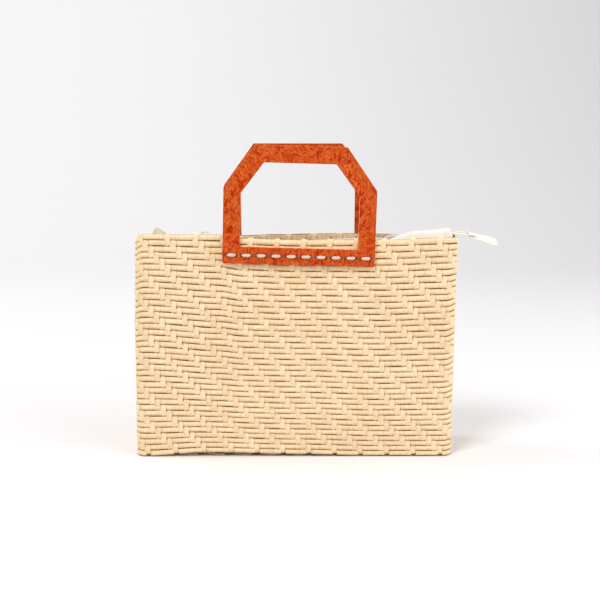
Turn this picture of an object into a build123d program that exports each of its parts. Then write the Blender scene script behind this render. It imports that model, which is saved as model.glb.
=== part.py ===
from build123d import *
import math
import os

os.makedirs("parts", exist_ok=True)

# Box bag woven in one piece from soft reed, with two flat pierced handle plates sewn on and a
# cotton lining that closes with a zip. Millimetres. Origin at the centre of the base, on the
# ground. +X to the wearer's right as the front faces them, -Y to the front, +Z up.

# Woven basket
bag_width = 314.0
bag_height = 225.0
base_depth = 72.0
mouth_depth = 47.0
weave_thickness = 3.0
corner_radius = 10.0
foot_radius = 2.5
rim_radius = 1.2

# Cotton lining, a loose bag inside the weave
lining_thickness = 0.8
lining_slack = 2.3
lining_corner_radius = 5.0
lining_floor_gap = 0.3
lining_below_rim = 0.5

# Handle plates
plate_thickness = 3.5
plate_width = 151.0
plate_top_width = 90.0
plate_shoulder_height = 75.0
plate_height = 117.0
plate_bar = 17.0
plate_corner_radius = 2.0
plate_edge_radius = 0.5
plate_seat_gap = 0.1
front_plate_shift = 2.3
front_plate_overlap = 28.6
front_plate_tilt = 1.6
back_plate_shift = 2.0
back_plate_overlap = 27.8
back_plate_tilt = 0.0

# Cord that sews each plate on, a row of running stitches
stitch_count = 10
stitch_pitch = 14.8
stitch_hole_spacing = 8.6
cord_width = 4.2
cord_stitch_height = 2.4
cord_stitch_round = 1.1
cord_leg_radius = 1.8
cord_hole_clearance = 0.3
cord_back_width = 3.6
cord_back_height = 1.8
cord_knot_width = 7.0
cord_gap = 0.1

# Cotton flaps that carry the zip
flap_thickness = 0.8
flap_drop = 19.0
flap_gap = 0.3
flap_end_gap = 6.0
fold_angle = 62.0

# Zip
tape_thickness = 0.5
tape_width = 9.5
tape_flat = 2.8
tape_overlap = 4.0
sew_gap = 0.5
coil_width = 1.8
coil_height = 2.0
coil_split = 0.7
coil_seat_gap = 0.45
open_fold_length = 34.0
closed_chain_length = 52.0
chain_dip = 10.0
chain_rise = 2.8
stop_length = 3.0
stop_height = 2.4
end_stop_height = 2.4

# Tail, where the zip runs out over the end of the bag
tail_length = 35.0
tail_droop = 1.8
tab_length = 30.0
tab_width = 27.0
tab_thickness = 2.4
tab_drop = 11.0
tab_pocket_depth = 6.0
tab_pocket_clearance = 0.15

# Slider
slider_length = 9.5
slider_width = 8.4
slider_plate = 1.1
slider_inside_clearance = 0.35
slider_wall = 1.0
slider_tape_slot = 1.3
slider_post_width = 0.9
slider_post_length = 3.0
slider_travel = 40.0
crown_length = 6.2
crown_width = 1.8
crown_wire = 0.8
crown_window_height = 1.9

# Puller
puller_length = 24.0
puller_width = 6.0
puller_thickness = 1.0
puller_eye_length = 3.8
puller_eye_clearance = 0.45
puller_bar = 1.0
puller_end_radius = 2.4
puller_slot_length = 9.0
puller_slot_width = 2.2

# Worked out from the sizes above
lean = math.atan2((base_depth - mouth_depth) / 2, bag_height)
wall_length = bag_height / math.cos(lean)
lining_inset = weave_thickness + lining_slack
clear_inset = lining_inset + lining_thickness
inside_end = bag_width / 2 - clear_inset


def depth_at(height):
    """Outside depth of the basket at a height."""
    return base_depth + (mouth_depth - base_depth) * height / bag_height


def tapered_block(inset, low, high, radius):
    """Block between two heights that keeps the same inset from the basket's outside."""
    half_low = depth_at(low) / 2 - inset
    half_high = depth_at(high) / 2 - inset
    profile = make_face(
        Polyline(
            (-half_low, low), (half_low, low), (half_high, high), (-half_high, high), close=True
        )
    )
    block = extrude(Plane.YZ * profile, bag_width / 2 - inset, both=True)
    corners = block.edges().filter_by(lambda edge: abs(edge.tangent_at(0.5).Z) > 0.9)
    return fillet(corners, radius)


def front_wall():
    """Outer face of the front wall: local x right, y up the wall, z outwards."""
    return Plane(
        origin=(0, -base_depth / 2, 0),
        x_dir=(1, 0, 0),
        z_dir=(0, -math.cos(lean), math.sin(lean)),
    )


def back_wall():
    """Outer face of the back wall, seen from behind: local x is the bag's left."""
    return Plane(
        origin=(0, base_depth / 2, 0),
        x_dir=(-1, 0, 0),
        z_dir=(0, math.cos(lean), math.sin(lean)),
    )


# A plate's place on its wall: local x runs along its foot, y up the plate from the foot.
front_place = (
    front_wall().location
    * Pos(front_plate_shift, wall_length - front_plate_overlap, 0)
    * Rot(0, 0, -front_plate_tilt)
)
back_place = (
    back_wall().location
    * Pos(-back_plate_shift, wall_length - back_plate_overlap, 0)
    * Rot(0, 0, back_plate_tilt)
)

stitch_row = plate_bar / 2
stitch_centres = [(i - (stitch_count - 1) / 2) * stitch_pitch for i in range(stitch_count)]
hole_radius = cord_leg_radius + cord_hole_clearance
hole_centres = [
    centre + side * stitch_hole_spacing / 2 for centre in stitch_centres for side in (-1, 1)
]


def stitch_holes(low, high):
    """Round pins that cut the cord's holes, between two heights above the wall's outer face."""
    pin = Cylinder(hole_radius, high - low, align=(Align.CENTER, Align.CENTER, Align.MIN))
    return [Pos(x, stitch_row, low) * pin for x in hole_centres]


def make_basket():
    """Open box with leaning front and back, pierced where the plates are sewn on."""
    outside = tapered_block(0, 0, bag_height, corner_radius)
    outside = fillet(outside.edges().group_by(Axis.Z)[0], foot_radius)
    inside_radius = corner_radius - weave_thickness
    inside = tapered_block(weave_thickness, weave_thickness, bag_height, inside_radius)
    basket = outside - inside
    basket = fillet(basket.edges().group_by(Axis.Z)[-1], rim_radius)
    holes = stitch_holes(-2 * weave_thickness, weave_thickness)
    return basket - [place * hole for place in (front_place, back_place) for hole in holes]


def make_lining():
    """Loose cotton bag that stands off the walls and lies on the woven floor."""
    low = weave_thickness + lining_floor_gap
    high = bag_height - lining_below_rim
    outside = tapered_block(lining_inset, low, high, lining_corner_radius)
    inside_radius = lining_corner_radius - lining_thickness
    inside = tapered_block(clear_inset, low + lining_thickness, high, inside_radius)
    return outside - inside


def make_plate():
    """Pierced plate with straight legs, sloping shoulders and a row of stitch holes."""
    half = plate_width / 2
    half_top = plate_top_width / 2
    outline = make_face(
        Polyline(
            (-half, 0),
            (half, 0),
            (half, plate_shoulder_height),
            (half_top, plate_height),
            (-half_top, plate_height),
            (-half, plate_shoulder_height),
            close=True,
        )
    )
    opening = offset(outline, amount=-plate_bar, kind=Kind.INTERSECTION)
    outline = fillet(outline.vertices(), plate_corner_radius)
    opening = fillet(opening.vertices(), plate_corner_radius)
    plate = extrude(outline - opening, plate_thickness)
    plate = fillet(plate.edges().filter_by(Plane.XY), plate_edge_radius)
    plate -= stitch_holes(-plate_thickness, 2 * plate_thickness)
    return Pos(0, 0, plate_seat_gap) * plate


def make_cord():
    """Running stitch: flat loops on the plate, legs through it, short runs behind the wall."""
    face = plate_seat_gap + plate_thickness + cord_gap
    top = face + cord_stitch_height
    behind = -weave_thickness - cord_gap
    bottom = behind - cord_back_height
    stitch = extrude(SlotCenterToCenter(stitch_hole_spacing, cord_width), cord_stitch_height)
    stitch = fillet(stitch.edges().group_by(Axis.Z)[-1], cord_stitch_round)
    back_run = extrude(
        SlotCenterToCenter(stitch_pitch - stitch_hole_spacing, cord_back_width), cord_back_height
    )
    knot = extrude(Circle(cord_knot_width / 2), cord_back_height)
    leg_height = face + cord_stitch_height / 2 - bottom
    pieces = []
    for centre in stitch_centres:
        pieces.append(Pos(centre, stitch_row, face) * stitch)
    for x in hole_centres:
        pieces.append(
            Pos(x, stitch_row, bottom)
            * Cylinder(cord_leg_radius, leg_height, align=(Align.CENTER, Align.CENTER, Align.MIN))
        )
    for centre in stitch_centres[:-1]:
        pieces.append(Pos(centre + stitch_pitch / 2, stitch_row, bottom) * back_run)
    for x in (hole_centres[0], hole_centres[-1]):
        pieces.append(Pos(x, stitch_row, bottom) * knot)
    return pieces[0].fuse(*pieces[1:])


def offset_line(points, distance):
    """Points of a (y, z) line moved sideways by a distance, with mitred corners."""
    moved = []
    for i, (y, z) in enumerate(points):
        before = points[max(i - 1, 0)]
        after = points[min(i + 1, len(points) - 1)]
        along = []
        for start, end in ((before, (y, z)), ((y, z), after)):
            run = (end[0] - start[0], end[1] - start[1])
            length = math.hypot(*run)
            if length > 0:
                along.append((run[0] / length, run[1] / length))
        mean = (sum(a[0] for a in along) / len(along), sum(a[1] for a in along) / len(along))
        square = mean[0] ** 2 + mean[1] ** 2
        moved.append((y - mean[1] * distance / square, z + mean[0] * distance / square))
    return moved


def cloth_strip(stations, low_side, high_side):
    """Ruled solid through (x, line) stations, between two sideways offsets of each line."""
    sections = []
    for x, line in stations:
        loop = offset_line(line, low_side) + offset_line(line, high_side)[::-1]
        sections.append(Wire.make_polygon([(x, y, z) for y, z in loop], close=True))
    return Solid.make_loft(sections, ruled=True)


# Stations of the open zip along the bag. The flaps hang inside the mouth from the left end,
# fold over towards the centre, and meet in the closed chain, which climbs out over the rim.
hang_start = -inside_end + flap_end_gap
chain_end = inside_end - flap_end_gap
chain_start = chain_end - closed_chain_length
hang_end = chain_start - open_fold_length
chain_low = bag_height - chain_dip
chain_high = bag_height + chain_rise
chain_slope = math.atan2(chain_high - chain_low, closed_chain_length)
tail_end = chain_end + tail_length
tail_height = chain_high - tail_droop
tape_inner = coil_split + coil_width + coil_seat_gap
tape_outer = tape_inner + tape_width
tape_flat_edge = tape_inner + tape_flat
sewn_height = bag_height - lining_below_rim


def wall_y(height, out):
    """y of the front lining's inner face at a height, moved towards the centre by out."""
    return -depth_at(height) / 2 + clear_inset + out


flap_out = flap_gap + flap_thickness / 2
flap_angle = -lean
half_fold_angle = flap_angle + math.radians(fold_angle) / 2
sewn_edge = (wall_y(sewn_height, flap_out), sewn_height)
tape_out = flap_thickness / 2 + sew_gap + tape_thickness / 2
tape_from = flap_drop - tape_overlap
tape_to = tape_from + tape_width
coil_from = tape_to + coil_seat_gap
coil_to = coil_from + coil_width


def swung_line(distances, out, angle):
    """Line from the sewn edge at an angle from straight down, moved towards the centre by out."""
    down = (math.sin(angle), -math.cos(angle))
    return [
        (
            sewn_edge[0] + down[0] * distance - down[1] * out,
            sewn_edge[1] + down[1] * distance + down[0] * out,
        )
        for distance in distances
    ]


def zip_stations(start, distances, out, closed_low, closed_high):
    """Stations of one strip: hanging, half folded over, and at both ends of the closed zip."""
    hanging = swung_line(distances, out, flap_angle)
    folding = swung_line(distances, out, half_fold_angle)
    half_way = (hang_end + chain_start) / 2
    return [
        (start, hanging),
        (hang_end, hanging),
        (half_way, folding),
        (chain_start, closed_low),
        (chain_end, closed_high),
    ]


def make_front_flap():
    """Strip sewn to the lining's top edge that hangs, then folds over to the closed zip."""
    under_tape = tape_thickness / 2 + sew_gap + flap_thickness / 2
    closed = [
        [sewn_edge, (flap_edge_y, height - under_tape)] for height in (chain_low, chain_high)
    ]
    stations = zip_stations(hang_start, (0, flap_drop), 0, *closed)
    return cloth_strip(stations, -flap_thickness / 2, flap_thickness / 2)


def tape_chain_line(height, edge_rise):
    """Tape's line where the zip is closed: flat at the coil, its sewn edge raised."""
    return [(-tape_outer, height + edge_rise), (-tape_flat_edge, height), (-tape_inner, height)]


# At the start of the closed chain the flap comes down steeply, so the tape's sewn edge rises.
flap_edge_y = -tape_outer + tape_overlap
flap_fall = (sewn_height - chain_low) / (flap_edge_y - sewn_edge[0])
edge_lift = flap_fall * tape_overlap + tape_thickness + sew_gap


def make_front_tape():
    """Zip tape along the flap's free edge, out over the rim and into the tab."""
    distances = (tape_from, tape_to - tape_flat, tape_to)
    closed = [tape_chain_line(chain_low, edge_lift), tape_chain_line(chain_high, 0.0)]
    stations = zip_stations(hang_start, distances, tape_out, *closed)
    stations.append((tail_end, tape_chain_line(tail_height, 0.0)))
    return cloth_strip(stations, -tape_thickness / 2, tape_thickness / 2)


def coil_chain_line(height):
    """Coil's line in the closed chain."""
    return [(-coil_split - coil_width, height), (-coil_split, height)]


coil_start = hang_start + stop_length
end_stop_end = tail_end - tab_pocket_depth
coil_end = end_stop_end - stop_length
tail_slope = (tail_height - chain_high) / tail_length


def tail_line_height(x):
    """Height of the zip's centre line where it runs out over the end of the bag."""
    return chain_high + tail_slope * (x - chain_end)


def make_front_coil():
    """Row of nylon coil along the front tape, as one plain strip."""
    closed = [coil_chain_line(chain_low), coil_chain_line(chain_high)]
    stations = zip_stations(coil_start, (coil_from, coil_to), tape_out, *closed)
    stations.append((coil_end, coil_chain_line(tail_line_height(coil_end))))
    return cloth_strip(stations, -coil_height / 2, coil_height / 2)


def make_front_top_stop():
    """Small crimped clip at the open end of the front coil."""
    hanging = swung_line((coil_from, coil_to), tape_out, flap_angle)
    stations = [(hang_start, hanging), (coil_start - coil_seat_gap, hanging)]
    return cloth_strip(stations, -stop_height / 2, stop_height / 2)


def make_end_stop():
    """Clip across both coils at the closed end, just before the tab."""
    half = tape_inner - coil_seat_gap
    start = coil_end + coil_seat_gap
    end = end_stop_end - coil_seat_gap
    stations = [
        (x, [(-half, tail_line_height(x)), (half, tail_line_height(x))]) for x in (start, end)
    ]
    return cloth_strip(stations, -end_stop_height / 2, end_stop_height / 2)


def make_tab():
    """Folded cotton tab with a pocket that the ends of both tapes are sewn into."""
    half = tab_width / 2
    start = end_stop_end
    stations = []
    steps = 4
    for i in range(steps + 1):
        along = i / steps
        x = start + tab_length * along
        droop = tab_drop * along**2
        height = tail_line_height(x) - droop
        stations.append((x, [(-half, height), (half, height)]))
    tab = cloth_strip(stations, -tab_thickness / 2, tab_thickness / 2)
    pocket_half_width = tape_outer + 2 * tab_pocket_clearance
    pocket_half_height = tape_thickness / 2 + 3 * tab_pocket_clearance
    pocket_end = tail_end + tab_pocket_clearance
    pocket_stations = []
    for x in (start - 1, pocket_end):
        height = tail_line_height(x)
        pocket_stations.append((x, [(-pocket_half_width, height), (pocket_half_width, height)]))
    pocket = cloth_strip(pocket_stations, -pocket_half_height, pocket_half_height)
    return tab - pocket


# The slider's own frame: local x along the closed chain, y to the back, z away from the zip.
slider_half_gap = coil_height / 2 + slider_inside_clearance
slider_top = slider_half_gap + slider_plate
slider_reach = (slider_length / 2 + slider_inside_clearance) * math.cos(chain_slope)
slider_x = chain_start + slider_reach
slider_z = chain_low + (slider_x - chain_start) * math.tan(chain_slope)
slider_place = Pos(slider_x, 0, slider_z) * Rot(0, -math.degrees(chain_slope), 0)
pivot_height = slider_top + crown_window_height / 2


def make_slider():
    """Two plates joined by a post, side walls slotted for the tapes, and a crown on top."""
    plate = extrude(RectangleRounded(slider_length, slider_width, 1.6), slider_plate)
    upper = Pos(0, 0, slider_half_gap) * plate
    lower = Pos(0, 0, -slider_top) * plate
    post = Pos((slider_post_length - slider_length) / 2 + 1.0, 0, 0) * Box(
        slider_post_length, slider_post_width, 2 * slider_top
    )
    wall_height = slider_half_gap - slider_tape_slot / 2
    wall_y_centre = (slider_width - slider_wall) / 2
    walls = []
    for side in (-1, 1):
        for end in (-1, 1):
            walls.append(
                Pos(0.8, side * wall_y_centre, end * (slider_half_gap - wall_height / 2))
                * Box(slider_length - 3.2, slider_wall, wall_height)
            )
    crown = Pos(0, 0, slider_top + (crown_window_height + crown_wire) / 2) * Box(
        crown_length, crown_width, crown_window_height + crown_wire
    )
    crown = fillet(crown.edges().filter_by(Axis.Y).group_by(Axis.Z)[-1], crown_wire)
    window = Pos(0, 0, slider_top + crown_window_height / 2) * Box(
        crown_length - 2 * crown_wire, 2 * crown_width, crown_window_height
    )
    return upper.fuse(lower, post, *walls, crown - window)


def make_puller():
    """Flat tongue whose eye goes round the crown, lying towards the open end."""
    eye_width = crown_width + 2 * puller_eye_clearance
    outline = Pos(-(puller_length / 2 - puller_bar / 2), 0) * RectangleRounded(
        puller_length, puller_width, puller_end_radius
    )
    outline += Pos(0, 0) * Rectangle(puller_bar, eye_width)
    eye = Pos(-puller_bar / 2 - puller_eye_length / 2, 0) * Rectangle(puller_eye_length, eye_width)
    slot_x = -(puller_length - puller_slot_length / 2 - puller_end_radius - puller_bar)
    slot = Pos(slot_x, 0) * SlotOverall(puller_slot_length, puller_slot_width)
    tongue = extrude(outline - eye - slot, puller_thickness)
    return Pos(0, 0, pivot_height - puller_thickness / 2) * tongue


def write(name, shape):
    """Write one node's STEP file."""
    export_step(shape, f"parts/{name}.step")


front_flap = make_front_flap()
front_tape = make_front_tape()
front_coil = make_front_coil()
front_top_stop = make_front_top_stop()
plate = make_plate()
cord = make_cord()

write("woven_basket", make_basket())
write("cotton_lining", make_lining())
write("front_handle", front_place * plate)
write("back_handle", back_place * plate)
write("front_handle_cord", front_place * cord)
write("back_handle_cord", back_place * cord)
write("front_zip_flap", front_flap)
write("back_zip_flap", front_flap.mirror(Plane.XZ))
write("front_zip_tape", front_tape)
write("back_zip_tape", front_tape.mirror(Plane.XZ))
write("front_zip_coil", front_coil)
write("back_zip_coil", front_coil.mirror(Plane.XZ))
write("front_top_stop", front_top_stop)
write("back_top_stop", front_top_stop.mirror(Plane.XZ))
write("zip_end_stop", make_end_stop())
write("zip_tail_tab", make_tab())
write("zip_slider", slider_place * make_slider())
write("zip_puller", slider_place * make_puller())

print(f"chain slope {math.degrees(chain_slope):.3f} degrees")
print(f"slider travel {slider_travel} mm, pivot height {pivot_height:.3f} mm")
print(f"slider centre {slider_x:.4f}, {slider_z:.4f}")
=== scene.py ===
"""Woven box bag with pierced handle plates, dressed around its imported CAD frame.

Metres, in the frame of the CAD model: origin at the centre of the base on the ground, +X to the
right as the front faces the viewer, -Y to the front, +Z up.
"""

import logging
import math
import random
from dataclasses import dataclass, field
from enum import Enum
from typing import Callable, Sequence

import bpy
import numpy as np
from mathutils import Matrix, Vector


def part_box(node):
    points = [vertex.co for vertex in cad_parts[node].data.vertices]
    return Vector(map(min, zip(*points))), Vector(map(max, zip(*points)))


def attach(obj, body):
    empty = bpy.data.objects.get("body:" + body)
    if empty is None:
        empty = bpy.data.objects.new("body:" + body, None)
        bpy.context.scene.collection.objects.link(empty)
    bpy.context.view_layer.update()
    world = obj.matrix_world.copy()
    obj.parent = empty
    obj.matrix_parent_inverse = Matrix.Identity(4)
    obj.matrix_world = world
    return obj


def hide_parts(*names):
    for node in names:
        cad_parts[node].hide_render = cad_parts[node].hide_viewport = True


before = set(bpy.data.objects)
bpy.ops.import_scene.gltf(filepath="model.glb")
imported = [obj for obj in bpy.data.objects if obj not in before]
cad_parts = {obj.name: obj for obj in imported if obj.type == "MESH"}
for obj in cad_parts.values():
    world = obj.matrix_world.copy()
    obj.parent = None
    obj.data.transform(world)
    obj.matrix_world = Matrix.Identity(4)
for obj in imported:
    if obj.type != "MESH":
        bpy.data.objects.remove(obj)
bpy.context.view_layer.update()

log = logging.getLogger("box_bag")

MM = 0.001
FLAT_MAP = "Strand"
BAG_BODY = "bag"
Array = np.ndarray
Point = tuple[float, float, float]
Colour = tuple[float, float, float]
Stops = tuple[tuple[float, float], ...]
Piece = bpy.types.Object
Material = bpy.types.Material
Node = bpy.types.Node
Socket = bpy.types.NodeSocket


class Slot(Enum):
    """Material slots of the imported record."""

    REED = "woven_reed"
    COTTON = "white_cotton"
    RESIN = "marbled_resin"
    CORD = "cotton_cord"
    TAPE = "zip_tape"
    COIL = "zip_coil"
    METAL = "zip_metal"


class Side(Enum):
    """The two long walls, by the sign of Y."""

    FRONT = -1.0
    BACK = 1.0

    @property
    def word(self) -> str:
        """Name used in piece names."""
        return self.name.lower()


# ---- Small sums ----


def smooth(share: Array) -> Array:
    """Ease from 0 to 1 with flat ends."""
    held = np.clip(share, 0.0, 1.0)
    return held * held * (3.0 - 2.0 * held)


def unit(vectors: Array) -> Array:
    """Vectors scaled to length 1."""
    return vectors / np.maximum(np.linalg.norm(vectors, axis=-1, keepdims=True), 1e-12)


def length_along(line: Array) -> Array:
    """Distance from a line's start to each of its points."""
    steps = np.linalg.norm(np.diff(line, axis=0), axis=1)
    return np.concatenate([[0.0], np.cumsum(steps)])


def band(places: Array, start: float, rise: float, end: float, fall: float) -> Array:
    """Share that rises from 0 at start to 1, and is back at 0 at end."""
    return smooth((places - start) / rise) * smooth((end - places) / fall)


def eased(stops: Stops, places: Array) -> Array:
    """Values between stops, easing from each to the next.

    Args:
        stops: (place, value) pairs in rising order of place.
        places: where the values are wanted.

    Returns:
        One value for each place.
    """
    at = np.array([stop[0] for stop in stops])
    values = np.array([stop[1] for stop in stops])
    left = np.clip(np.searchsorted(at, places, side="right") - 1, 0, len(at) - 2)
    share = smooth((places - at[left]) / (at[left + 1] - at[left]))
    return values[left] + (values[left + 1] - values[left]) * share


def ripple(seed: int, places: Array, wavelength: float, parts: int = 4) -> Array:
    """Smooth irregular wave between about -1 and 1, the same on every run.

    Args:
        seed: which wave.
        places: where it is wanted.
        wavelength: its longest wave.
        parts: how many waves are added.

    Returns:
        One value for each place.
    """
    draw = random.Random(seed)
    total = np.zeros_like(np.asarray(places, float))
    for part in range(parts):
        size = 1.0 / (1.0 + 0.7 * part)
        turn = 2.0 * math.pi * (1.0 + part * draw.uniform(0.55, 0.95)) / wavelength
        total = total + size * np.sin(places * turn + draw.uniform(0.0, 2.0 * math.pi))
    return total / 1.9


def through(points: Sequence[Sequence[float]], step: float) -> Array:
    """Smooth line through points, evenly sampled.

    Args:
        points: the points that it goes through.
        step: distance between samples.

    Returns:
        The samples, one row each.
    """
    knots = np.array(points, float)
    padded = np.vstack([2 * knots[0] - knots[1], knots, 2 * knots[-1] - knots[-2]])
    share = np.linspace(0.0, 1.0, 12, endpoint=False)[:, None]
    runs = []
    for before, start, end, after in zip(padded, padded[1:], padded[2:], padded[3:]):
        runs.append(
            0.5
            * (
                2 * start
                + (end - before) * share
                + (2 * before - 5 * start + 4 * end - after) * share**2
                + (3 * start - before - 3 * end + after) * share**3
            )
        )
    line = np.vstack([*runs, knots[-1:]])
    along = length_along(line)
    wanted = np.linspace(0.0, along[-1], max(3, int(round(along[-1] / step)) + 1))
    return np.stack([np.interp(wanted, along, line[:, axis]) for axis in range(3)], axis=1)


def ring_section(sides: int, power: float = 2.0) -> Array:
    """Closed section between an oval and a box.

    Args:
        sides: number of corners.
        power: 2 for an oval, more for a boxier section.

    Returns:
        (across, outward) shares from -1 to 1, anticlockwise.
    """
    turn = np.arange(sides) * 2.0 * math.pi / sides
    pair = np.stack([np.cos(turn), np.sin(turn)], axis=1)
    return np.sign(pair) * np.abs(pair) ** (2.0 / power)


# ---- Meshes ----


@dataclass
class Loft:
    """Gathers swept strands into one mesh, with a tone for each and a painted shade mask for their
    edges and for faces that lie under others.
    """

    points: list[Array] = field(default_factory=list)
    faces: list[Array] = field(default_factory=list)
    caps: list[list[int]] = field(default_factory=list)
    flat: list[Array] = field(default_factory=list)
    tones: list[Array] = field(default_factory=list)
    hollows: list[Array] = field(default_factory=list)
    count: int = 0
    shift_along: float = 0.37
    shift_across: float = 0.11
    # Painted shade on section edges: a shaded strand's lower edge is darkened more than its upper,
    # as if lit from above; other strands get lighter painted shade on both sides.
    lower_edge_power: float = 1.7
    upper_edge_power: float = 5.0
    plain_edge_power: int = 6
    plain_edge_share: float = 0.8
    # Painted shade on faces that lie under their neighbours, from this lie on, at this rate.
    proud_from: float = 0.9
    sink_rate: float = 1.6

    def edge_mask(self, section: Array, shaded: bool) -> Array:
        """How much painted shade each corner of a section gets, 0 to 1.

        Args:
            section: closed section in shares of half-width and half-thickness.
            shaded: whether both edges are painted dark, the lower edge more than the upper as if
                lit from above.

        Returns:
            One share for each corner.
        """
        reach = np.abs(section[:, 0])
        if not shaded:
            return reach**self.plain_edge_power * self.plain_edge_share
        powers = np.where(section[:, 0] < 0.0, self.lower_edge_power, self.upper_edge_power)
        return reach**powers

    def sweep(
        self,
        centres: Array,
        across: Array,
        outward: Array,
        section: Array,
        tone: float = 0.5,
        lie: Array | None = None,
        shaded_edges: bool = True,
    ) -> None:
        """Sweeps a closed section along a line, with both ends capped.

        Args:
            centres: points along the line.
            across: half-width vector at each point.
            outward: half-thickness vector at each point.
            section: closed section in shares of those two.
            tone: the strand's own shade, 0 to 1.
            lie: how proud of its neighbours each point lies, -1 to 1; faces that lie under get
                painted shade.
            shaded_edges: whether the strand's two edges get the heavier painted shade.
        """
        stations, sides = len(centres), len(section)
        body = (
            centres[:, None]
            + across[:, None] * section[None, :, 0:1]
            + outward[:, None] * section[None, :, 1:2]
        )
        along = length_along(centres) + tone * self.shift_along
        half_width = np.linalg.norm(across, axis=1)
        flat = np.stack(
            [
                np.repeat(along[:, None], sides, axis=1),
                half_width[:, None] * section[None, :, 0] + tone * self.shift_across,
            ],
            axis=-1,
        )
        # Painted shade mask: darker at the section's edges and on faces that lie under their
        # neighbours.
        painted_shade = np.broadcast_to(self.edge_mask(section, shaded_edges), (stations, sides))
        if lie is not None:
            facing = np.sign(np.round(section[None, :, 1], 6))
            sunk_shade = np.clip((self.proud_from - lie[:, None] * facing) * self.sink_rate, 0.0, 1.0)
            painted_shade = np.maximum(painted_shade, sunk_shade * np.abs(facing))
        heading = np.gradient(centres, axis=0)
        turned = float((np.cross(across, outward) * heading).sum())
        row = np.arange(stations - 1)[:, None] * sides
        corner = np.arange(sides)[None, :]
        following = (corner + 1) % sides
        quads = np.stack(
            [row + corner, row + following, row + sides + following, row + sides + corner], axis=-1
        ).reshape(-1, 4)
        first = list(range(sides))[::-1]
        last = [(stations - 1) * sides + i for i in range(sides)]
        if turned < 0:
            quads = quads[:, ::-1]
            first, last = first[::-1], last[::-1]
        self.points.append(body.reshape(-1, 3))
        self.faces.append(quads + self.count)
        self.caps += [[i + self.count for i in first], [i + self.count for i in last]]
        self.flat.append(flat.reshape(-1, 2))
        self.tones.append(np.full(stations * sides, tone))
        self.hollows.append(painted_shade.reshape(-1))
        self.count += stations * sides

    def tube(
        self, centres: Array, radius: Array | float, sides: int = 6, tone: float = 0.5
    ) -> None:
        """Sweeps a round tube along a line.

        Args:
            centres: points along the line.
            radius: its radius, one value or one for each point.
            sides: corners round the tube.
            tone: the strand's own shade, 0 to 1.
        """
        heading = unit(np.gradient(centres, axis=0))
        guide = np.array([0.0, 1.0, 0.0])
        if abs(float((heading @ guide).mean())) > 0.8:
            guide = np.array([1.0, 0.0, 0.0])
        across = unit(np.cross(heading, guide))
        outward = np.cross(heading, across)
        size = np.broadcast_to(np.asarray(radius, float), (len(centres),))[:, None]
        section = ring_section(sides)
        self.sweep(centres, across * size, outward * size, section, tone, shaded_edges=False)

    def build(self, name: str) -> Piece:
        """Makes the mesh object.

        Args:
            name: the piece's name.

        Returns:
            The object, smooth shaded.
        """
        faces = np.vstack(self.faces).tolist() + self.caps
        mesh = new_mesh(name, np.vstack(self.points), faces, np.vstack(self.flat))
        for word, values in (("tone", self.tones), ("painted_shade", self.hollows)):
            attribute = mesh.attributes.new(word, "FLOAT", "POINT")
            attribute.data.foreach_set("value", np.concatenate(values).astype(np.float32))
        return link_new(name, mesh)


def new_mesh(name: str, points: Array, faces: list[list[int]], flat: Array) -> bpy.types.Mesh:
    """Makes a smooth-shaded mesh with flat coordinates.

    Args:
        name: the piece's name.
        points: its points, one row each.
        faces: its faces, as lists of point numbers.
        flat: flat coordinates of each point, in metres.

    Returns:
        The mesh.
    """
    mesh = bpy.data.meshes.new(name)
    mesh.from_pydata(points.tolist(), [], faces)
    owners = np.zeros(len(mesh.loops), np.int32)
    mesh.loops.foreach_get("vertex_index", owners)
    layer = mesh.uv_layers.new(name=FLAT_MAP)
    layer.data.foreach_set("uv", flat[owners].astype(np.float32).ravel())
    mesh.polygons.foreach_set("use_smooth", [True] * len(mesh.polygons))
    mesh.update()
    return mesh


def link_new(name: str, data: bpy.types.ID) -> Piece:
    """Puts new data in the scene as an object.

    Args:
        name: the object's name.
        data: its mesh, lamp or camera.

    Returns:
        The object.
    """
    piece = bpy.data.objects.new(name, data)
    bpy.context.scene.collection.objects.link(piece)
    return piece


def sheet_mesh(name: str, points: Array, thickness: float = 0.0) -> Piece:
    """Makes a sheet from a grid of points, with flat coordinates in metres.

    Args:
        name: the piece's name.
        points: grid of points, rows by columns.
        thickness: cloth thickness, or 0 for a single layer.

    Returns:
        The object, smooth shaded.
    """
    rows, columns = points.shape[:2]
    index = np.arange(rows * columns).reshape(rows, columns)
    quads = np.stack([index[:-1, :-1], index[:-1, 1:], index[1:, 1:], index[1:, :-1]], axis=-1)
    down = np.linalg.norm(np.diff(points, axis=0), axis=2).mean(axis=1)
    over = np.linalg.norm(np.diff(points, axis=1), axis=2).mean(axis=0)
    v = np.concatenate([[0.0], np.cumsum(down)])
    u = np.concatenate([[0.0], np.cumsum(over)])
    flat = np.stack(np.meshgrid(u, v), axis=-1).reshape(-1, 2)
    mesh = new_mesh(name, points.reshape(-1, 3), quads.reshape(-1, 4).tolist(), flat)
    piece = link_new(name, mesh)
    if thickness:
        solid = piece.modifiers.new("cloth thickness", "SOLIDIFY")
        solid.thickness = thickness
        solid.offset = 0.0
    return piece


def settle(piece: Piece, finish: Material, slot: Slot, *nodes: str) -> None:
    """Dresses a piece and joins it to the bag's body.

    Args:
        piece: the new mesh.
        finish: its material.
        slot: the record's material slot; not used.
        nodes: CAD nodes that it stands for.
    """
    piece.data.materials.append(finish)
    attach(piece, BAG_BODY)
    if nodes:
        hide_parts(*nodes)
    log.info("%s: %d faces", piece.name, len(piece.data.polygons))


def dress_node(node: str, finish: Material) -> None:
    """Gives a CAD node that stays its finish.

    Args:
        node: the node's name.
        finish: its material.
    """
    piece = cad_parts[node]
    piece.data.materials.clear()
    piece.data.materials.append(finish)
    log.info("%s: CAD shape kept", node)


# ---- Shader trees ----


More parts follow.
